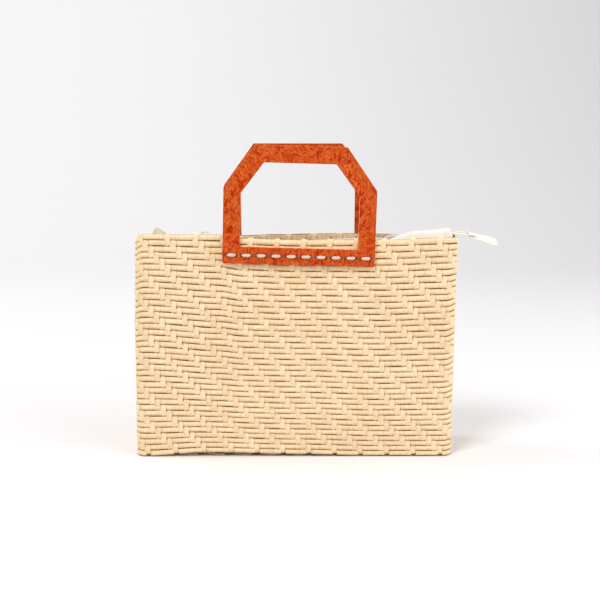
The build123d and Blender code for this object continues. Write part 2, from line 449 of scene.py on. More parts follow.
class Tree:
    """Places and joins nodes in one shader tree."""

    def __init__(self, tree: bpy.types.NodeTree) -> None:
        """Keeps the tree that nodes go into."""
        self.tree = tree

    def add(
        self, kind: str, inputs: dict[str | int, object] | None = None, **settings: object
    ) -> Node:
        """Adds a node.

        Args:
            kind: the node type, without its ShaderNode prefix.
            inputs: a value or an output socket for each input by name or number.
            settings: properties of the node itself.

        Returns:
            The node.
        """
        node = self.tree.nodes.new("ShaderNode" + kind)
        for word, value in settings.items():
            setattr(node, word, value)
        for word, value in (inputs or {}).items():
            self.feed(node, word, value)
        return node

    def feed(self, node: Node, word: str | int, value: object) -> None:
        """Sets or links one input of a node.

        Args:
            node: the node.
            word: the input's name or number.
            value: a value or an output socket.
        """
        if isinstance(value, Socket):
            self.tree.links.new(value, node.inputs[word])
        else:
            node.inputs[word].default_value = value

    def sum(self, operation: str, first: object, second: object = 0.0) -> Socket:
        """Adds a Math node and gives its output."""
        return self.add("Math", {0: first, 1: second}, operation=operation).outputs[0]

    def spread(
        self, value: object, low: object, high: object, to_low: float = 0.0, to_high: float = 1.0
    ) -> Socket:
        """Adds a Map Range node and gives its output.

        Args:
            value: what is mapped.
            low: where the range starts.
            high: where it ends.
            to_low: value at its start.
            to_high: value at its end.

        Returns:
            The mapped value.
        """
        names = {"Value": value, "From Min": low, "From Max": high}
        names |= {"To Min": to_low, "To Max": to_high}
        return self.add("MapRange", names, interpolation_type="SMOOTHSTEP").outputs[0]

    def bump(self, height: object, depth: float, strength: float) -> Socket:
        """Adds a Bump node and gives its normal."""
        names = {"Height": height, "Distance": depth, "Strength": strength}
        return self.add("Bump", names).outputs[0]

    def blend(self, share: object, first: object, second: object) -> Socket:
        """Adds a colour Mix node and gives its output.

        Args:
            share: how much of the second colour.
            first: the first colour.
            second: the second colour.

        Returns:
            The mixed colour.
        """
        node = self.add("Mix", data_type="RGBA")
        for number, value in ((0, share), (6, first), (7, second)):
            if isinstance(value, tuple) and len(value) == 3:
                value = (*value, 1.0)
            self.feed(node, number, value)
        return node.outputs[2]


class GroupTree(Tree):
    """The tree of a shader node group, with its inputs and outputs."""

    def __init__(self, tree: bpy.types.NodeTree) -> None:
        """Keeps the tree and adds the nodes of its two ends."""
        super().__init__(tree)
        self.start, self.end = tree.nodes.new("NodeGroupInput"), tree.nodes.new("NodeGroupOutput")

    def given(self, word: str) -> Socket:
        """One input of the group."""
        return self.start.outputs[word]

    def give(self, word: str, value: object) -> None:
        """Feeds one output of the group."""
        self.feed(self.end, word, value)


@dataclass(frozen=True)
class Effect:
    """A shader node group that several finishes share."""

    name: str
    inputs: tuple[tuple[str, str, object], ...]
    outputs: tuple[tuple[str, str], ...]
    fill: Callable[[GroupTree], None]

    def group(self) -> bpy.types.NodeTree:
        """Builds the group once and gives it.

        Returns:
            The group.
        """
        made = bpy.data.node_groups.get(self.name)
        if made:
            return made
        made = bpy.data.node_groups.new(self.name, "ShaderNodeTree")
        for word, kind, value in self.inputs:
            socket = made.interface.new_socket(word, in_out="INPUT", socket_type=kind)
            socket.default_value = value
        for word, kind in self.outputs:
            made.interface.new_socket(word, in_out="OUTPUT", socket_type=kind)
        self.fill(GroupTree(made))
        return made

    def place(self, tree: Tree, values: dict[str, object]) -> Node:
        """Puts the group in a material with its own values.

        Args:
            tree: the material's nodes.
            values: a value or an output socket for each input.

        Returns:
            The group's node.
        """
        node = tree.add("Group", node_tree=self.group())
        for word, value in values.items():
            if isinstance(value, tuple) and node.inputs[word].type == "RGBA":
                value = (*value[:3], 1.0)
            tree.feed(node, word, value)
        return node


NUMBER = "NodeSocketFloat"
COLOUR = "NodeSocketColor"


def fill_fibres(tree: GroupTree) -> None:
    """Lines along a strand and faint rings across it.

    Args:
        tree: the group's nodes.
    """
    flat = tree.add("UVMap", uv_map=FLAT_MAP).outputs[0]
    split = tree.add("SeparateXYZ", {0: flat})
    along, across = split.outputs[0], split.outputs[1]
    tone = tree.add("Attribute", attribute_name="tone").outputs["Fac"]
    depth = tree.sum("MULTIPLY", tone, 91.0)
    long_way = tree.sum("MULTIPLY", along, tree.given("Along"))
    cross_way = tree.sum("MULTIPLY", across, tree.given("Across"))
    lines_at = tree.add("CombineXYZ", {0: long_way, 1: cross_way, 2: depth}).outputs[0]
    lines = tree.add("TexNoise", {"Vector": lines_at, "Scale": 1.0, "Detail": 3.0})
    ring_way = tree.sum("MULTIPLY", along, tree.given("Rings"))
    side_way = tree.sum("MULTIPLY", across, 110.0)
    rings_at = tree.add("CombineXYZ", {0: ring_way, 1: side_way, 2: depth}).outputs[0]
    rings = tree.add("TexNoise", {"Vector": rings_at, "Scale": 1.0, "Detail": 2.0})
    tree.give("Lines", tree.spread(lines.outputs[0], 0.32, 0.68))
    tree.give("Ring Marks", tree.spread(rings.outputs[0], 0.4, 0.7))


def fill_tone(tree: GroupTree) -> None:
    """Shade that differs from strand to strand and drifts along each.

    Args:
        tree: the group's nodes.
    """
    tone = tree.add("Attribute", attribute_name="tone").outputs["Fac"]
    place = tree.add("TexCoord").outputs["Object"]
    cloud = tree.add("TexNoise", {"Vector": place, "Scale": tree.given("Cloud Scale")})
    drift = tree.spread(cloud.outputs[0], 0.35, 0.65)
    both = tree.sum("ADD", tree.sum("MULTIPLY", tone, 0.6), tree.sum("MULTIPLY", drift, 0.4))
    share = tree.sum("MULTIPLY", both, tree.given("Spread"))
    tree.give("Color", tree.blend(share, tree.given("Pale"), tree.given("Deep")))


def fill_hollow(tree: GroupTree) -> None:
    """Painted shade: darker colour down in the gaps between strands, on their edges and on faces
    that lie under others.

    Args:
        tree: the group's nodes.
    """
    painted_shade = tree.add("Attribute", attribute_name="painted_shade").outputs["Fac"]
    mask = tree.spread(painted_shade, tree.given("Start"), tree.given("End"))
    share = tree.sum("MULTIPLY", mask, tree.given("Amount"))
    tree.give("Mask", mask)
    tree.give("Color", tree.blend(share, tree.given("Color"), tree.given("Shade")))


def fill_threads(tree: GroupTree) -> None:
    """Plain weave of fine threads over flat coordinates.

    Args:
        tree: the group's nodes.
    """
    flat = tree.add("UVMap", uv_map=FLAT_MAP).outputs[0]
    split = tree.add("SeparateXYZ", {0: flat})
    turns = tree.sum("MULTIPLY", tree.given("Threads"), math.pi)
    one_way = tree.sum("SINE", tree.sum("MULTIPLY", split.outputs[0], turns))
    other_way = tree.sum("SINE", tree.sum("MULTIPLY", split.outputs[1], turns))
    crossing = tree.sum("MULTIPLY", one_way, other_way)
    slub_at = tree.add("VectorMath", {0: flat, 1: (900.0, 160.0, 1.0)}, operation="MULTIPLY")
    slub = tree.add("TexNoise", {"Vector": slub_at.outputs[0], "Scale": 1.0})
    tree.give("Height", tree.sum("ADD", crossing, slub.outputs[0]))
    tree.give("Slub", tree.spread(slub.outputs[0], 0.3, 0.7))


def fill_mottle(tree: GroupTree) -> None:
    """Soft uneven patches.

    Args:
        tree: the group's nodes.
    """
    place = tree.add("TexCoord").outputs["Object"]
    names = {"Vector": place, "Scale": tree.given("Scale"), "Detail": 4.0}
    cloud = tree.add("TexNoise", names)
    names = {"Value": cloud.outputs[0], "From Min": 0.3, "From Max": 0.7}
    names |= {"To Min": tree.given("Low"), "To Max": tree.given("High")}
    tree.give("Value", tree.add("MapRange", names).outputs[0])


def fill_veins(tree: GroupTree) -> None:
    """Swirled pearl veins, drawn out along one direction.

    Args:
        tree: the group's nodes.
    """
    place = tree.add("TexCoord").outputs["Object"]
    moved = tree.add("VectorMath", {0: place, 1: tree.given("Offset")}, operation="ADD")
    bend = tree.add("TexNoise", {"Vector": moved.outputs[0], "Scale": 38.0, "Detail": 2.0})
    centred = tree.add("VectorMath", {0: bend.outputs["Color"], 1: (0.5, 0.5, 0.5)})
    centred.operation = "SUBTRACT"
    names = {0: centred.outputs[0], "Scale": tree.given("Swirl")}
    pushed = tree.add("VectorMath", names, operation="SCALE")
    swirled = tree.add("VectorMath", {0: moved.outputs[0], 1: pushed.outputs[0]})
    drawn = tree.add("VectorMath", {0: swirled.outputs[0], 1: tree.given("Grain")})
    drawn.operation = "MULTIPLY"
    broad = tree.add("TexNoise", {"Vector": drawn.outputs[0], "Scale": 1.0, "Detail": 3.0})
    fine_names = {"Vector": drawn.outputs[0], "Scale": 2.0, "Detail": 3.0, "Distortion": 0.6}
    fine = tree.add("TexNoise", fine_names)
    ridge = tree.sum("ABSOLUTE", tree.sum("SUBTRACT", fine.outputs[0], 0.5))
    tree.give("Clouds", tree.spread(broad.outputs[0], 0.40, 0.60))
    tree.give("Veins", tree.spread(ridge, 0.0, 0.07, 1.0, 0.0))
    tree.give("Grain", tree.spread(fine.outputs[0], 0.36, 0.68))


FIBRES = Effect(
    "fibre lines",
    (("Along", NUMBER, 45.0), ("Across", NUMBER, 1900.0), ("Rings", NUMBER, 800.0)),
    (("Lines", NUMBER), ("Ring Marks", NUMBER)),
    fill_fibres,
)
STRAND_TONE = Effect(
    "strand tone",
    (
        ("Pale", COLOUR, (1.0, 1.0, 1.0, 1.0)),
        ("Deep", COLOUR, (0.6, 0.4, 0.2, 1.0)),
        ("Spread", NUMBER, 1.0),
        ("Cloud Scale", NUMBER, 18.0),
    ),
    (("Color", COLOUR),),
    fill_tone,
)
PAINTED_GAP_SHADE = Effect(
    "painted shade in gaps",
    (
        ("Color", COLOUR, (1.0, 1.0, 1.0, 1.0)),
        ("Shade", COLOUR, (0.3, 0.2, 0.1, 1.0)),
        ("Start", NUMBER, 0.5),
        ("End", NUMBER, 1.0),
        ("Amount", NUMBER, 1.0),
    ),
    (("Color", COLOUR), ("Mask", NUMBER)),
    fill_hollow,
)
THREADS = Effect(
    "plain weave threads",
    (("Threads", NUMBER, 2500.0),),
    (("Height", NUMBER), ("Slub", NUMBER)),
    fill_threads,
)
MOTTLE = Effect(
    "soft mottle",
    (("Scale", NUMBER, 60.0), ("Low", NUMBER, 0.0), ("High", NUMBER, 1.0)),
    (("Value", NUMBER),),
    fill_mottle,
)
VEINS = Effect(
    "pearl veins",
    (
        ("Offset", "NodeSocketVector", (0.0, 0.0, 0.0)),
        ("Grain", "NodeSocketVector", (260.0, 260.0, 80.0)),
        ("Swirl", NUMBER, 0.03),
    ),
    (("Clouds", NUMBER), ("Veins", NUMBER), ("Grain", NUMBER)),
    fill_veins,
)


def new_material(name: str) -> tuple[Material, Tree, Node]:
    """Starts a material.

    Args:
        name: its name.

    Returns:
        The material, its tree and its Principled BSDF node.
    """
    material = bpy.data.materials.new(name)
    material.use_nodes = True
    tree = Tree(material.node_tree)
    return material, tree, material.node_tree.nodes["Principled BSDF"]


@dataclass(frozen=True)
class ReedFinish:
    """Split reed: cream to honey, fibres along it, with painted brown shade down in the gaps, on
    lower edges and under crossings.
    """

    name: str = "split reed"
    pale: Colour = (1.0, 0.83, 0.57)
    deep: Colour = (0.88, 0.63, 0.36)
    # Painted shade colours: a dark brown core and a broad brownish band, laid on by the painted
    # shade mask.
    gap: Colour = (0.20, 0.075, 0.014)
    warm: Colour = (0.70, 0.39, 0.14)
    ring_mark: Colour = (0.62, 0.38, 0.17)
    relief: float = 0.22 * MM

    def material(self) -> Material:
        """Builds the reed material.

        Returns:
            The material.
        """
        material, tree, shader = new_material(self.name)
        fibres = FIBRES.place(tree, {})
        values = {"Pale": self.pale, "Deep": self.deep, "Spread": 0.62, "Cloud Scale": 26.0}
        tone = STRAND_TONE.place(tree, values)
        line_share = tree.sum("MULTIPLY", fibres.outputs["Lines"], 0.3)
        lined = tree.blend(line_share, tone.outputs[0], self.deep)
        ring_share = tree.sum("MULTIPLY", fibres.outputs["Ring Marks"], 0.32)
        ringed = tree.blend(ring_share, lined, self.ring_mark)
        # Painted shade: a broad brownish band, then a dark core, where the painted shade mask is
        # high.
        values = {"Color": ringed, "Shade": self.warm, "Start": 0.1, "End": 0.95, "Amount": 0.72}
        soft = PAINTED_GAP_SHADE.place(tree, values).outputs["Color"]
        values = {"Color": soft, "Shade": self.gap, "Start": 0.72, "End": 1.0, "Amount": 0.95}
        shaded = PAINTED_GAP_SHADE.place(tree, values)
        tree.feed(shader, "Base Color", shaded.outputs["Color"])
        both = tree.sum("ADD", fibres.outputs["Lines"], fibres.outputs["Ring Marks"])
        tree.feed(shader, "Normal", tree.bump(both, self.relief, 0.7))
        tree.feed(shader, "Roughness", tree.spread(fibres.outputs["Lines"], 0.0, 1.0, 0.54, 0.75))
        shader.inputs["Specular IOR Level"].default_value = 0.2
        return material


@dataclass(frozen=True)
class ResinFinish:
    """Polished pearl resin: burnt orange with lighter drawn-out veins."""

    name: str
    offset: Point
    dark: Colour = (0.41, 0.018, 0.0005)
    body: Colour = (0.525, 0.032, 0.0005)
    light: Colour = (0.99, 0.36, 0.075)
    edge: Colour = (0.93, 0.50, 0.28)
    haze: float = 0.13
    vein_share: float = 0.9
    edge_share: float = 0.62
    relief: float = 0.12 * MM

    def material(self) -> Material:
        """Builds the resin material.

        Returns:
            The material.
        """
        material, tree, shader = new_material(self.name)
        upright = {"Offset": self.offset, "Grain": (210.0, 210.0, 46.0), "Swirl": 0.024}
        slanted = {"Offset": self.offset, "Grain": (150.0, 150.0, 60.0), "Swirl": 0.05}
        tall, slant = VEINS.place(tree, upright), VEINS.place(tree, slanted)
        mix = MOTTLE.place(tree, {"Scale": 30.0, "Low": 0.0, "High": 1.0}).outputs[0]
        clouds, veins, grain = (
            tree.add("Mix", {0: mix, 2: tall.outputs[word], 3: slant.outputs[word]}).outputs[0]
            for word in ("Clouds", "Veins", "Grain")
        )
        base = tree.blend(clouds, self.dark, self.body)
        grained = tree.blend(tree.sum("MULTIPLY", grain, self.haze), base, self.light)
        lit = tree.sum("MULTIPLY", veins, tree.sum("MULTIPLY", grain, self.vein_share))
        veined = tree.blend(lit, grained, self.light)
        normal = tree.add("NewGeometry").outputs["True Normal"]
        rise = tree.add("VectorMath", {0: normal, 1: (0.0, 1.0, 0.0)}, operation="DOT_PRODUCT")
        facing = tree.sum("ABSOLUTE", rise.outputs["Value"])
        sawn = tree.spread(facing, 0.2, 0.9, self.edge_share, 0.0)
        tree.feed(shader, "Base Color", tree.blend(sawn, veined, self.edge))
        tree.feed(shader, "Roughness", tree.spread(grain, 0.0, 1.0, 0.34, 0.2))
        tree.feed(shader, "Normal", tree.bump(tree.sum("ADD", grain, veins), self.relief, 0.12))
        shader.inputs["Specular IOR Level"].default_value = 0.05
        shader.inputs["Coat Weight"].default_value = 0.03
        shader.inputs["Coat Roughness"].default_value = 0.12
        shader.inputs["Subsurface Weight"].default_value = 0.04
        shader.inputs["Subsurface Radius"].default_value = (0.004, 0.0012, 0.0004)
        return material


@dataclass(frozen=True)
class ClothFinish:
    """Matt cotton in plain weave, for the lining, the flaps, the tab and the tapes."""

    name: str
    pale: Colour
    deep: Colour
    threads: float = 2600.0
    relief: float = 0.06 * MM
    sheen: float = 0.15
    translucence: float = 0.1

    def material(self) -> Material:
        """Builds the cloth material.

        Returns:
            The material.
        """
        material, tree, shader = new_material(self.name)
        threads = THREADS.place(tree, {"Threads": self.threads})
        patch = MOTTLE.place(tree, {"Scale": 55.0, "Low": 0.0, "High": 0.6}).outputs[0]
        slub = tree.sum("MULTIPLY", threads.outputs["Slub"], 0.35)
        share = tree.sum("ADD", patch, slub)
        tree.feed(shader, "Base Color", tree.blend(share, self.pale, self.deep))
        tree.feed(shader, "Normal", tree.bump(threads.outputs["Height"], self.relief, 0.6))
        tree.feed(shader, "Roughness", tree.spread(threads.outputs["Slub"], 0.0, 1.0, 0.82, 0.94))
        shader.inputs["Specular IOR Level"].default_value = 0.2
        shader.inputs["Sheen Weight"].default_value = self.sheen
        shader.inputs["Subsurface Weight"].default_value = self.translucence
        shader.inputs["Subsurface Radius"].default_value = (0.004, 0.0035, 0.003)
        return material


@dataclass(frozen=True)
class YarnFinish:
    """Soft twisted yarn or sewing thread, with painted shade on the sides of each ply."""

    name: str
    pale: Colour
    deep: Colour
    shade: Colour
    relief: float = 0.2 * MM

    def material(self) -> Material:
        """Builds the yarn material.

        Returns:
            The material.
        """
        material, tree, shader = new_material(self.name)
        fibres = FIBRES.place(tree, {"Along": 380.0, "Across": 5200.0, "Rings": 1500.0})
        values = {"Pale": self.pale, "Deep": self.deep, "Spread": 0.7, "Cloud Scale": 120.0}
        tone = STRAND_TONE.place(tree, values)
        share = tree.sum("MULTIPLY", fibres.outputs["Lines"], 0.35)
        lined = tree.blend(share, tone.outputs[0], self.deep)
        # Painted shade on the sides of each ply.
        values = {"Color": lined, "Shade": self.shade, "Start": 0.6, "End": 1.0, "Amount": 0.5}
        shaded = PAINTED_GAP_SHADE.place(tree, values)
        tree.feed(shader, "Base Color", shaded.outputs["Color"])
        tree.feed(shader, "Normal", tree.bump(fibres.outputs["Lines"], self.relief, 0.7))
        tree.feed(shader, "Roughness", tree.spread(fibres.outputs["Lines"], 0.0, 1.0, 0.8, 0.95))
        shader.inputs["Specular IOR Level"].default_value = 0.2
        shader.inputs["Sheen Weight"].default_value = 0.25
        shader.inputs["Subsurface Weight"].default_value = 0.1
        shader.inputs["Subsurface Radius"].default_value = (0.002, 0.0015, 0.001)
        return material


@dataclass(frozen=True)
class CoilFinish:
    """Satin nylon of the zip coil, with painted shade on the sides of its wire."""

    name: str = "zip nylon"
    pale: Colour = (0.82, 0.77, 0.66)
    deep: Colour = (0.66, 0.59, 0.47)
    shade: Colour = (0.3, 0.25, 0.18)

    def material(self) -> Material:
        """Builds the nylon material.

        Returns:
            The material.
        """
        material, tree, shader = new_material(self.name)
        patch = MOTTLE.place(tree, {"Scale": 300.0, "Low": 0.0, "High": 0.8}).outputs[0]
        base = tree.blend(patch, self.pale, self.deep)
        # Painted shade on the sides of the coil's wire.
        values = {"Color": base, "Shade": self.shade, "Start": 0.7, "End": 1.0, "Amount": 0.5}
        tree.feed(shader, "Base Color", PAINTED_GAP_SHADE.place(tree, values).outputs["Color"])
        tree.feed(shader, "Roughness", tree.spread(patch, 0.0, 0.8, 0.36, 0.5))
        shader.inputs["Specular IOR Level"].default_value = 0.5
        return material


@dataclass(frozen=True)
class MetalFinish:
    """Zip metal with a fine tumbled surface, plated or lacquered."""

    name: str = "plated zip metal"
    bright: Colour = (0.78, 0.75, 0.70)
    dull: Colour = (0.50, 0.47, 0.43)
    metallic: float = 1.0
    relief: float = 0.03 * MM

    def material(self) -> Material:
        """Builds the metal material.

        Returns:
            The material.
        """
        material, tree, shader = new_material(self.name)
        patch = MOTTLE.place(tree, {"Scale": 420.0, "Low": 0.0, "High": 0.8}).outputs[0]
        speck = MOTTLE.place(tree, {"Scale": 2600.0, "Low": 0.0, "High": 1.0}).outputs[0]
        tree.feed(shader, "Base Color", tree.blend(patch, self.bright, self.dull))
        tree.feed(shader, "Roughness", tree.spread(patch, 0.0, 0.8, 0.2, 0.42))
        tree.feed(shader, "Normal", tree.bump(speck, self.relief, 0.4))
        shader.inputs["Metallic"].default_value = self.metallic
        return material


@dataclass(frozen=True)
class Finishes:
    """One material for each kind of surface."""

    reed: Material
    husk: Material
    cotton: Material
    tape: Material
    cord: Material
    thread: Material
    coil: Material
    lacquer: Material
    metal: Material
    front_resin: Material
    back_resin: Material

    @staticmethod
    def mixed() -> "Finishes":
        """Builds every material.

        Returns:
            The finishes.
        """
        finishes = {
            "reed": ReedFinish(),
            # The husk's third colour is painted shade, for its gaps and its covered faces.
            "husk": ReedFinish(
                "reed husk", (0.72, 0.47, 0.22), (0.42, 0.22, 0.08), (0.12, 0.06, 0.02)
            ),
            "cotton": ClothFinish("plain cotton", (0.86, 0.82, 0.755), (0.77, 0.70, 0.61)),
            "tape": ClothFinish(
                "zip tape", (0.86, 0.83, 0.76), (0.76, 0.71, 0.62), 1900.0, 0.12 * MM
            ),
            # The third colour of the cord and of the thread is painted shade on the sides of each
            # ply and thread.
            "cord": YarnFinish(
                "stitching cord", (0.94, 0.76, 0.65), (0.76, 0.50, 0.38), (0.42, 0.20, 0.11)
            ),
            "thread": YarnFinish(
                "sewing thread", (0.90, 0.86, 0.78), (0.74, 0.66, 0.55), (0.4, 0.33, 0.25)
            ),
            "coil": CoilFinish(),
            "metal": MetalFinish(),
            "lacquer": MetalFinish(
                "white lacquered stop", (0.84, 0.81, 0.75), (0.74, 0.70, 0.63), 0.0
            ),
            "front_resin": ResinFinish("front pearl resin", (0.0, 0.0, 0.0)),
            "back_resin": ResinFinish("back pearl resin", (0.31, 0.17, 0.43)),
        }
        return Finishes(**{word: finish.material() for word, finish in finishes.items()})


# ---- Basket ----


@dataclass
class BasketForm:
    """The basket's outer face, measured round in uprights and up in height.

    Column 0 is at the front wall's left end; columns run along the front, round the right end,
    along the back and round the left end.
    """

    mouth_depth: float = 47.0 * MM
    corner_radius: float = 10.0 * MM
    long_columns: int = 56
    end_columns: int = 14
    rows: int = 38
    rim_line: Stops = (
        (0.0, 227.4), (13.0, 227.0), (18.0, 223.0), (28.0, 221.4), (44.0, 221.9), (56.0, 223.7),
        (63.0, 222.8), (74.0, 220.8), (88.0, 222.4), (101.0, 221.2), (114.0, 219.4),
        (127.0, 217.9), (133.0, 217.6), (137.0, 222.0), (140.0, 227.4),
    )
    foot_line: Stops = (
        (0.0, 0.6), (11.0, 4.3), (29.0, 2.4), (43.0, 0.8), (56.0, 0.6), (70.0, 0.6), (98.0, 1.4),
        (114.0, 2.7), (126.0, 0.6), (140.0, 0.6),
    )
    left_bulge: Stops = ((0.0, 6.6), (112.0, 6.2), (226.0, 4.2))
    right_bulge: Stops = ((0.0, 2.6), (112.0, 3.6), (226.0, 5.0))
    sag_line: Stops = (
        (0.0, 0.0), (13.0, 6.0), (29.0, 5.6), (44.0, 6.6), (55.5, 6.0), (58.5, 3.0), (70.0, 1.0),
        (98.0, 5.0), (126.0, 1.0), (140.0, 0.0),
    )

    bulge_from: float = 60.0 * MM
    bulge_run: float = 97.0 * MM
    ease_before: float = 1.0
    ease_run: float = 1.5

    def __post_init__(self) -> None:
        """Reads the basket's box from the frame."""
        low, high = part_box("woven_basket")
        self.width = high.x - low.x
        self.height = high.z - low.z
        self.base_depth = high.y - low.y
        self.columns = 2 * (self.long_columns + self.end_columns)
        self.half_turn = self.long_columns + self.end_columns
        self.lean = math.atan2((self.base_depth - self.mouth_depth) / 2, self.height)
        self.long_flat = self.width - 2 * self.corner_radius
        self.pitch = self.long_flat / self.long_columns

    def depth_at(self, height: Array) -> Array:
        """Outside depth at a height."""
        return self.base_depth + (self.mouth_depth - self.base_depth) * height / self.height

    def bulged(self, x: Array, height: Array) -> Array:
        """X with the bulge of the two ends, which the squeezed mouth pushes out.

        Args:
            x: X on a straight wall.
            height: heights above the ground.

        Returns:
            The moved X.
        """
        places = np.asarray(height, float) / MM
        left, right = eased(self.left_bulge, places), eased(self.right_bulge, places)
        share = smooth((np.abs(x) - self.bulge_from) / self.bulge_run)
        return x + np.where(x < 0, -left, right) * MM * share

    def end_length(self, height: Array) -> Array:
        """Distance round one end, from one long flat to the other."""
        flat = self.depth_at(height) - 2 * self.corner_radius
        return math.pi * self.corner_radius + flat

    def place(self, column: Array, height: Array, inset: Array | float) -> tuple[Array, Array]:
        """Point and outward normal on the wall.

        Args:
            column: position round the basket, in columns.
            height: height above the ground.
            inset: distance inwards from the outer face.

        Returns:
            Points and unit normals.
        """
        column, height = np.broadcast_arrays(
            np.asarray(column, float) % self.columns, np.asarray(height, float)
        )
        turned = column >= self.half_turn
        along = np.where(turned, column - self.half_turn, column)
        half_width, radius = self.width / 2, self.corner_radius
        half_depth = self.depth_at(height) / 2
        quarter = math.pi / 2 * radius
        flat = 2 * half_depth - 2 * radius
        x = -half_width + radius + along / self.long_columns * self.long_flat
        y = -half_depth
        face_x, face_y = np.zeros_like(x), -np.ones_like(x)
        run = (along - self.long_columns) / self.end_columns * self.end_length(height)
        first = np.clip(run / radius, 0.0, math.pi / 2)
        last = np.clip((run - quarter - flat) / radius, 0.0, math.pi / 2)
        angle = first + last
        middle = np.clip(run - quarter, 0.0, flat)
        end_x = half_width - radius + radius * np.sin(angle)
        end_y = -half_depth + radius - radius * np.cos(angle) + middle
        on_end = along > self.long_columns
        x, y = np.where(on_end, end_x, x), np.where(on_end, end_y, y)
        face_x = np.where(on_end, np.sin(angle), face_x)
        face_y = np.where(on_end, -np.cos(angle), face_y)
        sign = np.where(turned, -1.0, 1.0)
        rise = np.abs(face_y) * math.tan(self.lean)
        normal = unit(np.stack([face_x * sign, face_y * sign, rise], axis=-1))
        point = np.stack([self.bulged(x * sign, height), y * sign, height], axis=-1)
        return point - normal * np.asarray(inset, float)[..., None], normal

    def level(self, row: Array, column: Array) -> Array:
        """Height of a row's line, with the sag of the real weave.

        Args:
            row: position down from the rim, in rows.
            column: position round the basket, in columns.

        Returns:
            Height above the ground.
        """
        column = np.asarray(column, float) % self.columns
        rim = eased(self.rim_line, column) * MM
        foot = eased(self.foot_line, column) * MM
        sag = eased(self.sag_line, column) * MM
        share = np.asarray(row, float) / self.rows
        return rim + (foot - rim) * share - sag * 4.0 * share * (1.0 - share)

    def column_width(self, column: Array, height: Array) -> Array:
        """Width of one column at a place, less at the ends of the mouth.

        Args:
            column: position round the basket, in columns.
            height: height above the ground.

        Returns:
            The width.
        """
        along = (np.asarray(column, float) % self.columns) % self.half_turn
        end_pitch = self.end_length(np.asarray(height, float)) / self.end_columns
        near = smooth((along - self.long_columns + self.ease_before) / self.ease_run)
        far = smooth((self.half_turn - along + self.ease_before) / self.ease_run)
        start = smooth((self.ease_before - along) / self.ease_run)
        share = np.where(along > self.long_columns - self.ease_before, near * far, start)
        return self.pitch + (end_pitch - self.pitch) * share


